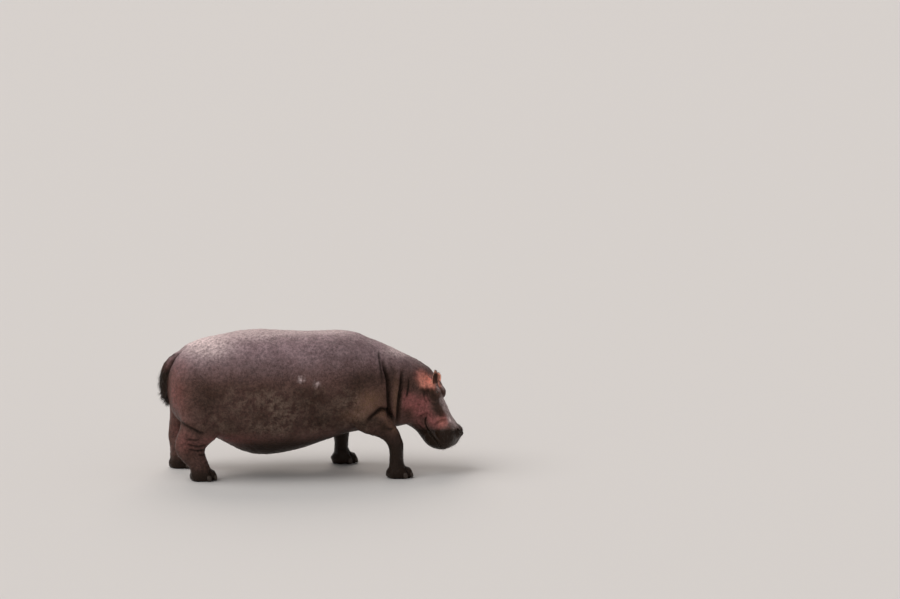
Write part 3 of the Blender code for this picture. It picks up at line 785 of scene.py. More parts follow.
# %% Apply the relief
place = points_of(skin_mesh)
head_place = in_head(place)
calm = np.zeros(len(place))
for word, side in SIDES.items():
    calm = np.maximum(calm, 1 - ease(distance_to(place, EYES[word]), 0.030, 0.070))
    calm = np.maximum(calm, 1 - ease(distance_to(place, from_head(0.458, side * 0.092, 0.105)), 0.030, 0.060))
    calm = np.maximum(calm, near_box(place, "ear_" + word, 0.01))
calm = np.maximum(calm, 1 - ease(place[:, 2], 0.02, 0.10))
face = face_nearness(place)
with_attribute(skin_mesh, "relief", (1 - calm) * (1 - 0.45 * face))
with_attribute(skin_mesh, "fine", 0.25 + 0.75 * np.maximum(face, 1 - ease(place[:, 2], 0.25, 0.5)))
# Painted shade in the creases, clefts, nostrils and along the lips.
with_attribute(skin_mesh, "painted_crease_shade", crease_shade)
clay = into_scene("clay", skin_mesh)
relief = clay.modifiers.new("relief", "NODES")
relief.node_group = relief_tree()
set_inputs(relief, Lumps=0.008, Sags=0.005, Net=0.0015)
skin_mesh = settled(clay)
print("relief on", len(skin_mesh.vertices), "points")

# %% [markdown]
# ## A lighter mesh
# The clay has far more triangles than a flat flank needs. Decimate folds edges together where that changes the shape
# least. A vertex group holds it back on the face, which so keeps more of its triangles. A last pass finds the few
# points whose normal disagrees with their neighbours' and draws them back into the surface.

# %% Simplify
SKIN_TRIANGLES = 192000
place = points_of(skin_mesh)
clay = into_scene("clay", skin_mesh)
spared = weight_group(clay, "spared", 1 - 0.12 * face_nearness(place), 100)
simplify = clay.modifiers.new("simplify", "DECIMATE")
triangles = sum(len(p.vertices) - 2 for p in skin_mesh.polygons)
simplify.ratio = SKIN_TRIANGLES / triangles
simplify.vertex_group = spared
skin_mesh = settled(clay)
skin_mesh.name = "skin"
skin_mesh.shade_smooth()
skin = into_scene("skin", skin_mesh)
print("simplified to", len(skin_mesh.vertices), "points")

# %% No spikes
SPIKE_ROUNDS, SPIKE_LIMIT = 6, 0.35
for _round in range(SPIKE_ROUNDS):
    around = neighbour_mean(skin_mesh, normals_of(skin_mesh))
    around /= np.linalg.norm(around, axis=1)[:, None] + 1e-9
    spikes = np.sum(around * normals_of(skin_mesh), axis=1) < SPIKE_LIMIT
    place = points_of(skin_mesh)
    place[spikes] = neighbour_mean(skin_mesh, place)[spikes]
    place[:, 2] = np.maximum(place[:, 2], 0)
    move_points(skin_mesh, place)
print("spikes left:", int(spikes.sum()))
print("skin:", sum(len(p.vertices) - 2 for p in skin_mesh.polygons), "triangles")

# %% [markdown]
# ## Marks on the hide
# The lilac grey of the back is partly the hide's own grey and partly painted sheen and top light, most where the
# skin faces up. Dried mud mottles the flank, and the buttock, the cheek and the skin round the ears are rose to
# salmon. The tan shoulder carries painted light on the lit upper arm, and painted highlights lighten the rump, the
# topline and the crest. Below the line the water reached everything is nearly black, partly from real wetness and
# partly as painted shade under the belly, and painted shade darkens the creases, the armpit, the skin between the
# legs and under the brow, the ear cups and the skin beside the tail. Each mark is a number from 0 to 1 at every point
# of the skin, made of soft patches. The material turns the numbers into colour and adds the fine pattern itself, so
# that the marks' edges are never as coarse as the mesh.

# %% Patches
skin_place, skin_out = points_of(skin_mesh), normals_of(skin_mesh)
skin_head = in_head(skin_place)
on_head = ease(skin_head[:, 0], -0.26, -0.16) * ease(skin_place[:, 0], 0.88, 0.98)
x, y, z = skin_place.T
from_the_side = skin_place[:, [0, 2]]


def patches(flat, rows):
    """Several soft ovals laid over each other: centre, two radii and strength."""
    bare = np.ones(len(flat))
    for a, b, long, tall, strength in rows:
        away = np.hypot((flat[:, 0] - a) / long, (flat[:, 1] - b) / tall)
        bare *= 1 - strength * np.exp(-1.4 * away**2.5)
    return 1 - bare


def on_flank(rows):
    """Patches on both flanks, placed by x and z."""
    return patches(from_the_side, rows) * ease(np.abs(skin_out[:, 1]), 0.05, 0.4)


def on_cheek(rows):
    """Patches on both sides of the head and the nape, placed by along and up."""
    sideways = ease(np.abs((skin_out @ HEAD_AXES)[:, 1]), 0.05, 0.4)
    near_head = ease(skin_head[:, 0], -0.34, -0.25) * ease(skin_place[:, 0], 0.86, 0.94)
    return patches(skin_head[:, [0, 2]], rows) * sideways * near_head


on_tail = closeness(skin_place, "tail", 0.012)
tail_zone = on_tail * (1 - ease(z, 1.02, 1.12))
# A painted shadow along the skin beside the tail.
tail_shadow = 0.9 * (closeness(skin_place, "tail", 0.034) - on_tail)
# The insides of the ear cups are painted dark, as shade.
ears, cup_shade = np.zeros(len(x)), np.zeros(len(x))
for word, side in SIDES.items():
    ear = closeness(skin_place, "ear_" + word, 0.012) * ease(along_ear(skin_place, side), 0.02, 0.18)
    ears = np.maximum(ears, ear)
    inside = ear * ease(into_cup(skin_out, side), 0.35, 0.85)
    cup_shade = np.maximum(cup_shade, inside * (1 - ease(along_ear(skin_place, side), 0.70, 0.95)))
facing_up = (skin_out @ HEAD_AXES)[:, 2]
along, up = skin_head[:, 0], skin_head[:, 2]
near_side = skin_out[:, 1] < 0
print("patches reach over", len(skin_place), "points")

# %% [markdown]
# A patch on the body is a row of x, z, half length, half height and strength. A patch on the head is the same with
# along and up. The rows overlap, so that no mark has the outline of an oval.

# %% Marks
MARKS = {
    # Partly the hide's own grey, partly painted sheen and top light, most where the skin faces up.
    "lilac_sheen": ease(z, 0.92, 1.36) * (0.35 + 0.65 * ease(skin_out[:, 2], -0.1, 0.7)) * (1 - on_head),
    "mud": ease(z, 0.42, 0.56) * (1 - ease(z, 0.80, 1.06)) * ease(np.abs(skin_out[:, 1]), 0.15, 0.6)
    * ease(x, -1.30, -0.95) * (1 - ease(x, 0.35, 0.75)),
    "rose": np.maximum(
        on_flank([
            (-1.43, 0.86, 0.13, 0.28, 0.34), (-0.90, 0.40, 0.40, 0.08, 0.35), (-1.36, 1.16, 0.14, 0.10, 0.15),
            (-1.33, 0.42, 0.10, 0.12, 0.30),
        ]),
        on_cheek([
            (-0.074, -0.185, 0.08, 0.08, 0.9), (-0.004, -0.141, 0.10, 0.08, 1.0), (0.054, -0.078, 0.09, 0.07, 1.0),
            (0.038, -0.022, 0.05, 0.04, 0.6), (0.102, -0.140, 0.08, 0.06, 0.9), (0.150, -0.072, 0.07, 0.05, 0.8),
            (0.292, -0.025, 0.085, 0.075, 1.0), (0.250, -0.080, 0.08, 0.05, 0.9), (-0.027, -0.240, 0.055, 0.055, 0.7),
            (0.140, -0.215, 0.070, 0.050, 0.25), (0.225, -0.205, 0.060, 0.040, 0.4),
            (-0.215, 0.050, 0.070, 0.055, 0.8), (0.300, 0.030, 0.060, 0.050, 0.9),
        ]),
    ),
    "salmon": on_cheek([
        (-0.165, 0.055, 0.075, 0.060, 0.8), (-0.225, 0.062, 0.050, 0.040, 0.30), (0.300, 0.000, 0.065, 0.055, 0.30),
        (-0.125, 0.082, 0.065, 0.055, 1.0), (-0.112, 0.022, 0.045, 0.035, 0.8), (-0.090, 0.060, 0.045, 0.040, 1.0),
        (-0.066, 0.092, 0.045, 0.035, 1.0), (-0.105, 0.115, 0.060, 0.030, 0.9),
    ]),
    # Partly the shoulder's own tan, partly painted light on the lit upper arm and the ridge between the neck folds.
    "tan": on_flank([
        (0.560, 0.800, 0.17, 0.13, 1.0), (0.829, 0.790, 0.040, 0.24, 1.0), (0.40, 0.66, 0.18, 0.08, 0.6),
        (0.674, 0.670, 0.080, 0.045, 1.0), (0.745, 0.600, 0.060, 0.060, 0.8), (0.800, 0.520, 0.050, 0.090, 0.6),
    ]),
    # Mostly painted highlight on rump, topline, crest, brow and muzzle top; also small pale flecks on the near flank.
    "pale": np.maximum.reduce([
        on_flank([
            (-0.120, 1.054, 0.030, 0.015, 1.0), (-0.152, 1.042, 0.030, 0.015, 1.0), (0.026, 1.006, 0.036, 0.014, 0.7),
        ]) * near_side,
        on_cheek([(-0.033, 0.139, 0.05, 0.020, 0.7), (0.315, 0.085, 0.06, 0.03, 1.0)]),
        on_head * ease(up, 0.050, 0.085) * ease(facing_up, 0.5, 0.95) * ease(along, 0.03, 0.10) * 0.5,
        patches(from_the_side, [
            (-1.10, 1.37, 0.30, 0.13, 0.9), (-0.62, 1.46, 0.40, 0.06, 0.45), (0.10, 1.46, 0.60, 0.03, 0.5),
        ]),
        patches(from_the_side, [(0.94, 1.24, 0.26, 0.055, 0.6)]) * (1 - on_head) * ease(skin_out[:, 2], 0.4, 0.9),
    ]),
    # Partly real wetness below the waterline, on the muzzle and the tail, partly painted shade under the belly.
    "wet": np.maximum.reduce([
        (1 - ease(z, 0.34, 0.50)) * ease(x, -1.02, -0.60), 1 - ease(z, 0.06, 0.20),
        (1 - ease(z, 0.42, 0.54)) * ease(x, 0.12, 0.30) * 0.8,
        (1 - ease(z, 0.34, 0.52)) * ease(x, 0.50, 0.62) * (1 - on_head) * 0.8,
        on_head * ease(along - 0.55 * up, 0.352, 0.402), tail_zone,
    ]),
    # Mostly painted shade under the arm, between the hind legs, under the brow, beside the tail and in the ear cups;
    # also darker patches on the flank and neck, and the tail's own dark colour.
    "dark": np.maximum.reduce([
        on_flank([
            (0.985, 0.960, 0.12, 0.14, 0.35), (-0.10, 0.92, 0.14, 0.05, 0.5), (0.48, 0.565, 0.12, 0.065, 0.9),
            (0.60, 0.605, 0.065, 0.050, 0.95), (0.690, 0.540, 0.060, 0.070, 1.0), (0.50, 1.02, 0.24, 0.13, 0.7),
            (0.778, 1.060, 0.05, 0.14, 0.5), (-1.12, 0.84, 0.15, 0.20, 0.55), (0.34, 1.30, 0.30, 0.14, 0.35),
            (-0.55, 1.18, 0.30, 0.10, 0.25), (0.10, 0.64, 0.30, 0.11, 0.5), (-0.05, 0.83, 0.22, 0.08, 0.3),
        ]),
        on_cheek([
            (-0.072, 0.000, 0.040, 0.025, 0.9), (-0.048, 0.034, 0.040, 0.025, 0.95), (-0.023, 0.068, 0.035, 0.030, 1.0),
            (0.026, 0.041, 0.050, 0.040, 0.8), (0.064, 0.068, 0.055, 0.040, 0.8), (0.117, 0.038, 0.060, 0.040, 0.8),
            (0.176, 0.018, 0.060, 0.035, 0.85), (0.226, 0.024, 0.050, 0.030, 0.9),
        ]),
        patches(from_the_side, [(-1.32, 0.55, 0.07, 0.30, 0.8)]) * ease(-skin_out[:, 1], 0, 0.5) * ease(y, 0.05, 0.15),
        tail_zone, tail_shadow, cup_shade,
    ]),
    "ear": ears * (1 - 0.85 * cup_shade),
}
for name, values in MARKS.items():
    with_attribute(skin_mesh, name, values)
print("marks:", {name: round(float(values.mean()), 3) for name, values in MARKS.items()})

# %% [markdown]
# ## The hide's material
# Two things repeat in every finish here: a mottled value that breaks up flat colour, and a fine cracked surface. Each
# is a node group, so that hide and horn share it with their own scales.


# %% Shared groups
def group_of(name, inputs, outputs):
    """An empty shader group with number inputs and outputs, and its two end nodes."""
    tree = bpy.data.node_groups.new(name, "ShaderNodeTree")
    for key, value in inputs.items():
        tree.interface.new_socket(key, in_out="INPUT", socket_type="NodeSocketFloat").default_value = value
    for key in outputs:
        tree.interface.new_socket(key, in_out="OUTPUT", socket_type="NodeSocketFloat")
    return tree, node(tree, "NodeGroupInput"), node(tree, "NodeGroupOutput")


def mottle_group():
    tree, given, out = group_of("mottle", {"Scale": 8.0, "Contrast": 2.0}, ["Value"])
    where = node(tree, "ShaderNodeTexCoord").outputs["Object"]
    noise = node(tree, "ShaderNodeTexNoise", {"Vector": where, "Scale": given.outputs["Scale"], "Detail": 5.0,
                                              "Roughness": 0.6})
    value = maths(tree, "SUBTRACT", noise.outputs[0], 0.5)
    value = maths(tree, "MULTIPLY_ADD", value, given.outputs["Contrast"], 0.5, clamp=True)
    tree.links.new(value, out.inputs["Value"])
    return tree


def cracks_group():
    """Heights of a net of shallow cracks, deep in some places and lost in others, with a fine grain on top."""
    tree, given, out = group_of("cracks", {"Scale": 40.0, "Stretch": 1.0}, ["Height"])
    where = node(tree, "ShaderNodeTexCoord").outputs["Object"]
    stretch = node(tree, "ShaderNodeCombineXYZ", {"X": 1.0, "Y": 1.0, "Z": given.outputs["Stretch"]}).outputs[0]
    where = node(tree, "ShaderNodeVectorMath", {0: where, 1: stretch}, operation="MULTIPLY").outputs[0]
    wander = node(tree, "ShaderNodeTexNoise", {"Vector": where, "Scale": 9.0, "Detail": 2.0}).outputs[1]
    wander = node(tree, "ShaderNodeVectorMath", {0: wander, "Scale": 0.05}, operation="SCALE").outputs[0]
    where = node(tree, "ShaderNodeVectorMath", {0: where, 1: wander}, operation="ADD").outputs[0]
    cells = node(tree, "ShaderNodeTexVoronoi", {"Vector": where, "Scale": given.outputs["Scale"]},
                 feature="DISTANCE_TO_EDGE").outputs[0]
    value = maths(tree, "MULTIPLY", cells, 5.0, clamp=True)
    finer = maths(tree, "MULTIPLY", given.outputs["Scale"], 2.3)
    small = node(tree, "ShaderNodeTexVoronoi", {"Vector": where, "Scale": finer}, feature="DISTANCE_TO_EDGE").outputs[0]
    small = maths(tree, "MULTIPLY", small, 5.0, clamp=True)
    depth = node(tree, "ShaderNodeTexNoise", {"Vector": where, "Scale": 4.0, "Detail": 2.0}).outputs[0]
    depth = maths(tree, "MULTIPLY_ADD", depth, 3.0, -1.0, clamp=True)
    value = maths(tree, "MULTIPLY_ADD", maths(tree, "SUBTRACT", value, 1.0), depth, 1.0)
    value = maths(tree, "MULTIPLY_ADD", small, 0.45, value)
    grain = node(tree, "ShaderNodeTexNoise", {"Vector": where, "Scale": 150.0, "Detail": 3.0}).outputs[0]
    tree.links.new(maths(tree, "MULTIPLY_ADD", grain, 0.5, value), out.inputs["Height"])
    return tree


MOTTLE, CRACKS = mottle_group(), cracks_group()
print("groups:", MOTTLE.name, CRACKS.name)


# %% Short words for materials
def new_material(name):
    made = bpy.data.materials.new(name)
    made.use_nodes = True
    return made, made.node_tree, made.node_tree.nodes["Principled BSDF"]


def mark(tree, name):
    return node(tree, "ShaderNodeAttribute", attribute_name=name).outputs["Fac"]


def mottle(tree, scale, contrast):
    return node(tree, "ShaderNodeGroup", {"Scale": scale, "Contrast": contrast}, node_tree=MOTTLE).outputs[0]


def blend(tree, factor, a, b, kind="MIX"):
    made = node(tree, "ShaderNodeMix", data_type="RGBA", blend_type=kind)
    for socket, value in zip((made.inputs[0], made.inputs[6], made.inputs[7]), (factor, a, b)):
        if isinstance(value, bpy.types.NodeSocket):
            tree.links.new(value, socket)
        else:
            socket.default_value = value if isinstance(value, float) else (*value, 1)
    return made.outputs[2]


# %% Hide
# The tan is partly painted light on the lit upper arm.
BROWN, DARK_BROWN, TAN = (0.128, 0.068, 0.058), (0.066, 0.033, 0.024), (0.220, 0.124, 0.072)
# The lilac greys are partly painted sheen and top light on the back.
SHEEN_LILAC, SHEEN_LILAC_DEEP = (0.330, 0.232, 0.250), (0.185, 0.120, 0.130)
MUD, MUD_DARK = (0.170, 0.116, 0.090), (0.042, 0.023, 0.018)
# The pale colour is mostly painted highlight.
ROSE, SALMON, PALE = (0.350, 0.125, 0.118), (0.820, 0.320, 0.240), (0.700, 0.560, 0.555)
EAR_PINK = (0.900, 0.450, 0.310)
# Near-black colours: wet skin that is also painted shade under the belly, and painted shade in creases and hollows.
WET_AND_SHADE, BLACK, SHADE_AND_DARK = (0.028, 0.014, 0.008), (0.012, 0.006, 0.003), (0.026, 0.014, 0.008)


def hide_material():
    """The hide: its marks laid over each other, then lightened and darkened by the fine pattern."""
    made, tree, shader = new_material("wet_hide")
    broad, fine, speck = mottle(tree, 5.0, 2.6), mottle(tree, 34.0, 2.4), mottle(tree, 85.0, 3.0)
    cracks = node(tree, "ShaderNodeGroup", {"Scale": 38.0, "Stretch": 0.6}, node_tree=CRACKS).outputs[0]
    colour = blend(tree, broad, BROWN, DARK_BROWN)
    # Painted sheen and top light: a lilac grey laid high on the back.
    lilac_sheen = blend(tree, mottle(tree, 9.0, 2.2), SHEEN_LILAC, SHEEN_LILAC_DEEP)
    colour = blend(tree, mark(tree, "lilac_sheen"), colour, lilac_sheen)
    where_dry = maths(tree, "MULTIPLY_ADD", mottle(tree, 3.5, 4.0), 0.8, 0.2)
    dried = maths(tree, "MULTIPLY", mottle(tree, 15.0, 6.0), where_dry)
    colour = blend(tree, maths(tree, "MULTIPLY", mark(tree, "mud"), 0.55), colour, MUD_DARK)
    colour = blend(tree, maths(tree, "MULTIPLY", mark(tree, "mud"), dried), colour, MUD)
    # Tan: partly the shoulder's own colour, partly painted light.
    colour = blend(tree, mark(tree, "tan"), colour, blend(tree, fine, TAN, BROWN))
    reach = maths(tree, "MULTIPLY_ADD", fine, 0.6, 0.55, clamp=True)
    # Rose and salmon are the skin's own colours; the pale colour is mostly painted highlight.
    for word, paint in (("rose", ROSE), ("pale", PALE), ("salmon", SALMON)):
        colour = blend(tree, maths(tree, "MULTIPLY", mark(tree, word), reach), colour, paint)
    # Near black: wet skin, and painted shade under the belly.
    colour = blend(tree, mark(tree, "wet"), colour, blend(tree, fine, WET_AND_SHADE, BLACK))
    colour = blend(tree, mark(tree, "ear"), colour, blend(tree, fine, EAR_PINK, SALMON))
    # Painted shade under the arm and brow, between the legs, beside the tail and in the ear cups.
    colour = blend(tree, maths(tree, "MULTIPLY", mark(tree, "dark"), 0.85), colour, SHADE_AND_DARK)
    # Painted shade in the creases, clefts, nostrils and along the lips.
    colour = blend(tree, maths(tree, "MULTIPLY", mark(tree, "painted_crease_shade"), 0.90), colour, BLACK)
    light = maths(tree, "MULTIPLY_ADD", speck, 0.48, 0.34)
    light = maths(tree, "MULTIPLY_ADD", mottle(tree, 34.0, 4.6), 0.46, light)
    light = maths(tree, "MULTIPLY_ADD", cracks, 0.15, light)
    bare = maths(tree, "MULTIPLY", maths(tree, "MAXIMUM", mark(tree, "rose"), mark(tree, "salmon")), 0.5)
    light = maths(tree, "MULTIPLY_ADD", maths(tree, "SUBTRACT", 0.95, light), bare, light)
    grey = node(tree, "ShaderNodeCombineColor", {0: light, 1: light, 2: light}).outputs[0]
    colour = blend(tree, 1.0, colour, grey, "MULTIPLY")
    tree.links.new(colour, shader.inputs["Base Color"])
    dry = maths(tree, "MULTIPLY", mark(tree, "mud"), 0.20)
    rough = maths(tree, "ADD", maths(tree, "MULTIPLY_ADD", fine, 0.18, 0.36), dry)
    rough = maths(tree, "SUBTRACT", rough, maths(tree, "MULTIPLY", mark(tree, "wet"), 0.12))
    tree.links.new(rough, shader.inputs["Roughness"])
    tree.links.new(maths(tree, "MULTIPLY", mark(tree, "wet"), 0.08), shader.inputs["Coat Weight"])
    shader.inputs["Coat Roughness"].default_value = 0.20
    shader.inputs["Specular IOR Level"].default_value = 0.12
    height = maths(tree, "MULTIPLY_ADD", fine, 0.8, cracks)
    bump = node(tree, "ShaderNodeBump", {"Height": height, "Strength": 0.75, "Distance": 0.0040})
    tree.links.new(bump.outputs[0], shader.inputs["Normal"])
    return made


HIDE = hide_material()
skin_mesh.materials.clear()
skin_mesh.materials.append(HIDE)
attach(skin, "root")
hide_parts(*FLESH)
print("skin stands for", len(FLESH), "solids")

# %% [markdown]
# ## Eyes
# A hippopotamus eye is dark brown with a wide pupil, under a wet bulging cornea. It is a ball turned so that its pole
# looks outwards. Each point keeps its place across the eye as an attribute, from which the material draws the iris
# and the pupil.


# %% Eyeballs
BALL_GAP, CORNEA = 0.0006, 0.055


def eyeball(word, side):
    """A ball in the eye's own directions, with its cornea swollen."""
    centre = np.array(EYES[word])
    look, slit, rise = eye_axes(side)
    shape = bmesh.new()
    bmesh.ops.create_uvsphere(shape, u_segments=48, v_segments=32, radius=1.0)
    mesh = bpy.data.meshes.new("eyeball_" + word)
    shape.to_mesh(mesh)
    shape.free()
    ball = points_of(mesh)
    swell = 1 + CORNEA * ease(ball[:, 2], 0.80, 0.97)
    handed = -1 if np.dot(np.cross(slit, rise), look) < 0 else 1
    axes = np.array([slit, rise * handed, look])
    move_points(mesh, centre + (ball * swell[:, None] * (EYE_RADIUS - BALL_GAP)) @ axes)
    layer = mesh.attributes.new("gaze", "FLOAT_VECTOR", "POINT")
    layer.data.foreach_set("vector", ball.astype(np.float32).ravel())
    mesh.shade_smooth()
    return into_scene("eyeball_" + word, mesh)


def eye_material():
    """A wet eye: pupil, iris and white, told apart by their place across the eye."""
    made, tree, shader = new_material("wet_eye")
    gaze = node(tree, "ShaderNodeAttribute", attribute_name="gaze").outputs["Vector"]
    flat = node(tree, "ShaderNodeVectorMath", {0: gaze, 1: (1, 1, 0)}, operation="MULTIPLY").outputs[0]
    ring = node(tree, "ShaderNodeVectorMath", {0: flat}, operation="LENGTH").outputs["Value"]
    wide = node(tree, "ShaderNodeVectorMath", {0: gaze, 1: (1.0, 1.9, 0)}, operation="MULTIPLY").outputs[0]
    pupil = node(tree, "ShaderNodeVectorMath", {0: wide}, operation="LENGTH").outputs["Value"]
    rays = node(tree, "ShaderNodeTexNoise", {"Vector": gaze, "Scale": 9.0, "Detail": 4.0}).outputs[0]
    iris = blend(tree, rays, (0.050, 0.022, 0.008), (0.120, 0.055, 0.020))
    white = blend(tree, rays, (0.090, 0.050, 0.040), (0.200, 0.130, 0.110))
    edge = node(tree, "ShaderNodeMapRange", {"Value": ring, "From Min": 0.60, "From Max": 0.68}).outputs[0]
    hole = node(tree, "ShaderNodeMapRange", {"Value": pupil, "From Min": 0.36, "From Max": 0.44}).outputs[0]
    colour = blend(tree, edge, iris, white)
    colour = blend(tree, hole, (0.003, 0.002, 0.002), colour)
    tree.links.new(colour, shader.inputs["Base Color"])
    shader.inputs["Roughness"].default_value = 0.12
    shader.inputs["Coat Weight"].default_value = 0.8
    shader.inputs["Coat Roughness"].default_value = 0.03
    return made


EYE = eye_material()
for word, side in SIDES.items():
    ball = eyeball(word, side)
    ball.data.materials.append(EYE)
    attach(ball, "root")
    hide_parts("eye_" + word)
print("eyeballs set")

# %% [markdown]
# ## Hooflets
# Each toe ends in a blunt nail, worn flat below. One nail is shaped round each nail solid's box, with growth ridges
# across it, and the sixteen are joined in one piece.

# %% Nails
RIDGE_DEPTH, RIDGES, FLARE = 0.022, 30, 0.03  # the flare widens a nail towards the ground
NAILS = [f"nail_{end}_{word}_{n}" for end in ("fore", "hind") for word in SIDES for n in (1, 2, 3, 4)]


def hooflets():
    """Smooth copies of the nail solids, with ridges that follow their height."""
    shape = bmesh.new()
    for name in NAILS:
        obj = into_scene("nail_copy", clean_copy(name, 0.0))
        finer = obj.modifiers.new("finer", "SUBSURF")
        finer.levels = finer.render_levels = 2
        mesh = settled(obj)
        low, high = (np.array(c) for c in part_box(name))
        centre = (low + high) / 2
        nail = points_of(mesh)
        nail = centre + (nail - centre) * (high - low) / np.ptp(nail, axis=0)
        tall = (nail[:, 2] - low[2]) / (high[2] - low[2])
        ridges = 1 + RIDGE_DEPTH * np.sin(tall * RIDGES) * ease(tall, 0.05, 0.3) + FLARE * (1 - ease(tall, 0.0, 0.35))
        nail[:, :2] = centre[:2] + (nail[:, :2] - centre[:2]) * ridges[:, None]
        nail[:, 2] = np.maximum(nail[:, 2], 0.001)
        move_points(mesh, nail)
        shape.from_mesh(mesh)
    mesh = bpy.data.meshes.new("hooflets")
    shape.to_mesh(mesh)
    shape.free()
    mesh.shade_smooth()
    return into_scene("hooflets", mesh)


def horn_material():
    """Dark, dull horn with streaks and fine cracks that run down the nail."""
    made, tree, shader = new_material("worn_horn")
    streaks = mottle(tree, 60.0, 2.4)
    colour = blend(tree, streaks, (0.055, 0.040, 0.032), (0.020, 0.014, 0.012))
    colour = blend(tree, mottle(tree, 24.0, 3.0), colour, (0.085, 0.062, 0.047))
    tree.links.new(colour, shader.inputs["Base Color"])
    tree.links.new(maths(tree, "MULTIPLY_ADD", streaks, 0.25, 0.45), shader.inputs["Roughness"])
    shader.inputs["Specular IOR Level"].default_value = 0.25
    cracks = node(tree, "ShaderNodeGroup", {"Scale": 120.0, "Stretch": 0.25}, node_tree=CRACKS).outputs[0]
    bump = node(tree, "ShaderNodeBump", {"Height": cracks, "Strength": 0.7, "Distance": 0.0015})
    tree.links.new(bump.outputs[0], shader.inputs["Normal"])
    return made


nails = hooflets()
nails.data.materials.append(horn_material())
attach(nails, "root")
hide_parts(*NAILS)
print("hooflets:", len(NAILS), "nails,", len(nails.data.polygons), "faces")

# %% [markdown]
# ## Bristles
# The hide is nearly bare. Stiff bristles grow on the muzzle, a fringe of short hairs lines the ears, and dark bristles
# stand along the rear edge and the tip of the tail. Combed particles could grow them too, but they make no faces.
# Geometry Nodes put one tapered, bent bristle on each root, turn it to the root's own direction and scale it to the
# root's own length. The instances are realized, so that every bristle ends as a solid mesh.


# %% A bristle tree
def bristle_tree(material):
    """One bristle on each root. The root's attributes give its direction, lie, and its length."""
    tree = bpy.data.node_groups.new("bristles", "GeometryNodeTree")
    tree.interface.new_socket("Geometry", in_out="INPUT", socket_type="NodeSocketGeometry")
    for name, value in (("Thickness", 0.02), ("Bend", 0.3)):
        tree.interface.new_socket(name, in_out="INPUT", socket_type="NodeSocketFloat").default_value = value
    tree.interface.new_socket("Geometry", in_out="OUTPUT", socket_type="NodeSocketGeometry")
    given, out = node(tree, "NodeGroupInput"), node(tree, "NodeGroupOutput")
    tip = node(tree, "ShaderNodeCombineXYZ", {"X": given.outputs["Bend"], "Z": 0.95}).outputs[0]
    curve = node(tree, "GeometryNodeCurveQuadraticBezier", {"Resolution": 4, "Start": (0, 0, -0.05),
                                                            "Middle": (0, 0, 0.5), "End": tip}).outputs[0]
    along = node(tree, "GeometryNodeSplineParameter").outputs["Factor"]
    radius = maths(tree, "SUBTRACT", 1.0, maths(tree, "MULTIPLY", along, 0.85))
    ring = node(tree, "GeometryNodeCurvePrimitiveCircle", {"Resolution": 3, "Radius": given.outputs["Thickness"]})
    hair = node(tree, "GeometryNodeCurveToMesh", {"Curve": curve, "Profile Curve": ring.outputs[0], "Scale": radius,
                                                  "Fill Caps": True}).outputs[0]
    lie = node(tree, "GeometryNodeInputNamedAttribute", {"Name": "lie"}, data_type="FLOAT_VECTOR").outputs[0]
    length = node(tree, "GeometryNodeInputNamedAttribute", {"Name": "length"}, data_type="FLOAT").outputs[0]
    turn = node(tree, "FunctionNodeAlignRotationToVector", {"Vector": lie}, axis="Z").outputs[0]
    placed = node(tree, "GeometryNodeInstanceOnPoints", {"Points": given.outputs[0], "Instance": hair,
                                                         "Rotation": turn, "Scale": length})
    real = node(tree, "GeometryNodeRealizeInstances", {"Geometry": placed.outputs[0]})
    finished = node(tree, "GeometryNodeSetMaterial", {"Geometry": real.outputs[0], "Material": material})
    tree.links.new(finished.outputs[0], out.inputs[0])
    return tree


def roots_on_skin(chance, count, seed):
    """Random faces of the skin, picked by how likely each point is to carry a bristle."""
    draw = np.random.default_rng(seed)
    faces = np.array([p.vertices[:3] for p in skin_mesh.polygons])
    corners = skin_place[faces]
    area = np.linalg.norm(np.cross(corners[:, 1] - corners[:, 0], corners[:, 2] - corners[:, 0]), axis=1)
    weight = area * chance[faces].mean(axis=1)
    picked = draw.choice(len(faces), count, p=weight / weight.sum())
    mix = draw.dirichlet((1, 1, 1), count)
    spots = (corners[picked] * mix[:, :, None]).sum(axis=1)
    normals = (skin_out[faces[picked]] * mix[:, :, None]).sum(axis=1)
    return spots, normals / np.linalg.norm(normals, axis=1)[:, None], draw


def bristles(name, material, roots, unwrap, thickness, bend):
    """A piece of real bristles on roots of place, direction and length, with a bake patch for each."""
    spots, lies, lengths = roots
    mesh = bpy.data.meshes.new(name + "_roots")
    mesh.from_pydata(spots.tolist(), [], [])
    layer = mesh.attributes.new("lie", "FLOAT_VECTOR", "POINT")
    layer.data.foreach_set("vector", lies.astype(np.float32).ravel())
    with_attribute(mesh, "length", lengths)
    obj = into_scene(name, mesh)
    grow = obj.modifiers.new("grow", "NODES")
    grow.node_group = bristle_tree(material)
    set_inputs(grow, Thickness=thickness, Bend=bend)
    made = settled(obj)
    per_root = len(made.vertices) // len(spots)
    loops = np.empty(len(made.loops), int)
    made.loops.foreach_get("vertex_index", loops)
    patch = np.array([((k % 3) / 2, k // 3 / (per_root // 3)) for k in range(per_root)]) * 0.003
    uv = unwrap[loops // per_root] + patch[loops % per_root]
    for old in list(made.uv_layers):
        made.uv_layers.remove(old)
    made.uv_layers.new(name="OFBake").data.foreach_set("uv", uv.astype(np.float32).ravel())
    made.shade_smooth()
    piece = into_scene(name, made)
    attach(piece, "root")
    print(name, len(spots), "bristles,", sum(len(p.vertices) - 2 for p in made.polygons), "triangles")
    return piece


def bristle_material(name, pale, dark):
    made, tree, shader = new_material(name)
    colour = blend(tree, mottle(tree, 40.0, 3.0), pale, dark)
    tree.links.new(colour, shader.inputs["Base Color"])
    shader.inputs["Roughness"].default_value = 0.45
    return made


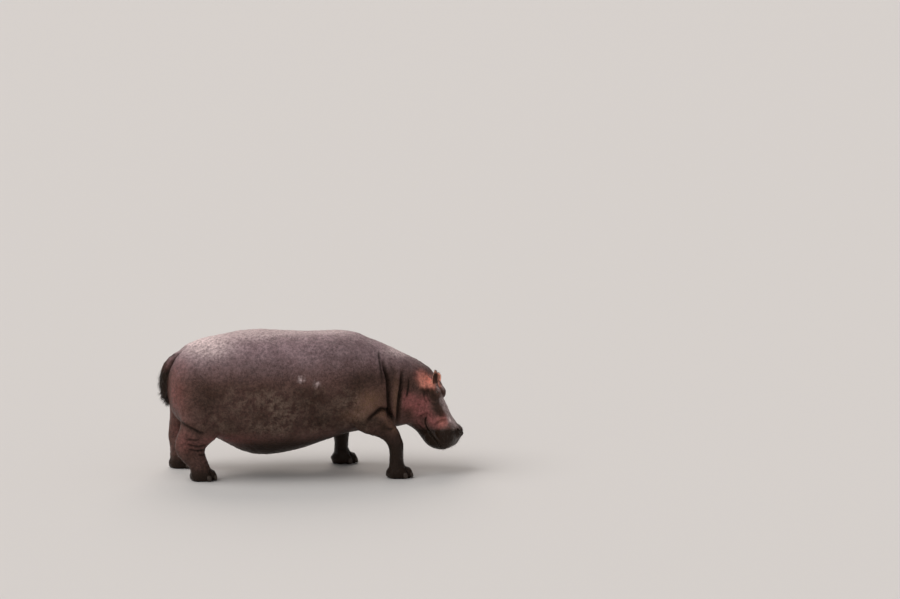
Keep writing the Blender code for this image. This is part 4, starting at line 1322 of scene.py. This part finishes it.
# %% Whiskers
WHISKERS, WHISKER_SEED = 420, 3
muzzle = on_head * ease(skin_head[:, 0], 0.33, 0.40) * ease(skin_head[:, 2], -0.26, -0.10)
spots, normals, draw = roots_on_skin(muzzle, WHISKERS, WHISKER_SEED)
droop = np.array((0.0, 0.0, -1.0))
lies = normals + 0.35 * droop + 0.25 * draw.normal(size=spots.shape)
lies /= np.linalg.norm(lies, axis=1)[:, None]
head_spots = in_head(spots)
around = np.arctan2(head_spots[:, 1], head_spots[:, 2])
unwrap = np.stack([(around + pi) / (2 * pi), head_spots[:, 0] + 0.3], axis=1)
BRISTLE = bristle_material("stiff_bristle", (0.32, 0.26, 0.20), (0.050, 0.035, 0.028))
roots = (spots, lies, draw.uniform(0.010, 0.028, len(spots)))
whiskers = bristles("whiskers", BRISTLE, roots, unwrap, 0.028, 0.25)

# %% Ear fringe
FRINGE_HAIRS, FRINGE_SEED = 380, 11
for word, side in SIDES.items():
    root, run = ear_axis(side)
    at = along_ear(skin_place, side)
    sharp = 1 - np.abs(np.sum(neighbour_mean(skin_mesh, skin_out) * skin_out, axis=1))
    rim = near_box(skin_place, "ear_" + word, 0.006) * ease(at, 0.15, 0.35) * ease(sharp, 0.03, 0.12)
    spots, normals, draw = roots_on_skin(rim, FRINGE_HAIRS, FRINGE_SEED)
    lies = 0.6 * normals + 0.7 * np.array(run) + 0.25 * draw.normal(size=spots.shape)
    lies /= np.linalg.norm(lies, axis=1)[:, None]
    offset = spots - np.array(root)
    look, slit, _rise = eye_axes(side)
    around = np.arctan2(offset @ look, offset @ slit)
    unwrap = np.stack([(around + pi) / (2 * pi), along_ear(spots, side) * 0.9], axis=1)
    roots = (spots, lies, draw.uniform(0.008, 0.018, len(spots)))
    fringe = bristles("ear_fringe_" + word, BRISTLE, roots, unwrap, 0.030, 0.2)

# %% Tail bristles
TAIL_HAIRS, TAIL_SEED = 640, 5
edges = on_tail * (1 - ease(z, 1.02, 1.14)) * (ease(-skin_out[:, 0], 0.2, 0.8) + 1 - ease(z, 0.78, 0.88))
spots, normals, draw = roots_on_skin(edges, TAIL_HAIRS, TAIL_SEED)
lies = 0.40 * normals + np.array((-0.10, 0, -1.0)) + 0.15 * draw.normal(size=spots.shape)
lies /= np.linalg.norm(lies, axis=1)[:, None]
unwrap = np.stack([(np.arctan2(spots[:, 1], -spots[:, 0] - 1.50) + pi) / (2 * pi), spots[:, 2]], axis=1)
TAIL_BRISTLE = bristle_material("tail_bristle", (0.090, 0.065, 0.050), (0.015, 0.010, 0.009))
roots = (spots, lies, draw.uniform(0.025, 0.060, len(spots)))
tuft = bristles("tail_bristles", TAIL_BRISTLE, roots, unwrap, 0.030, 0.3)
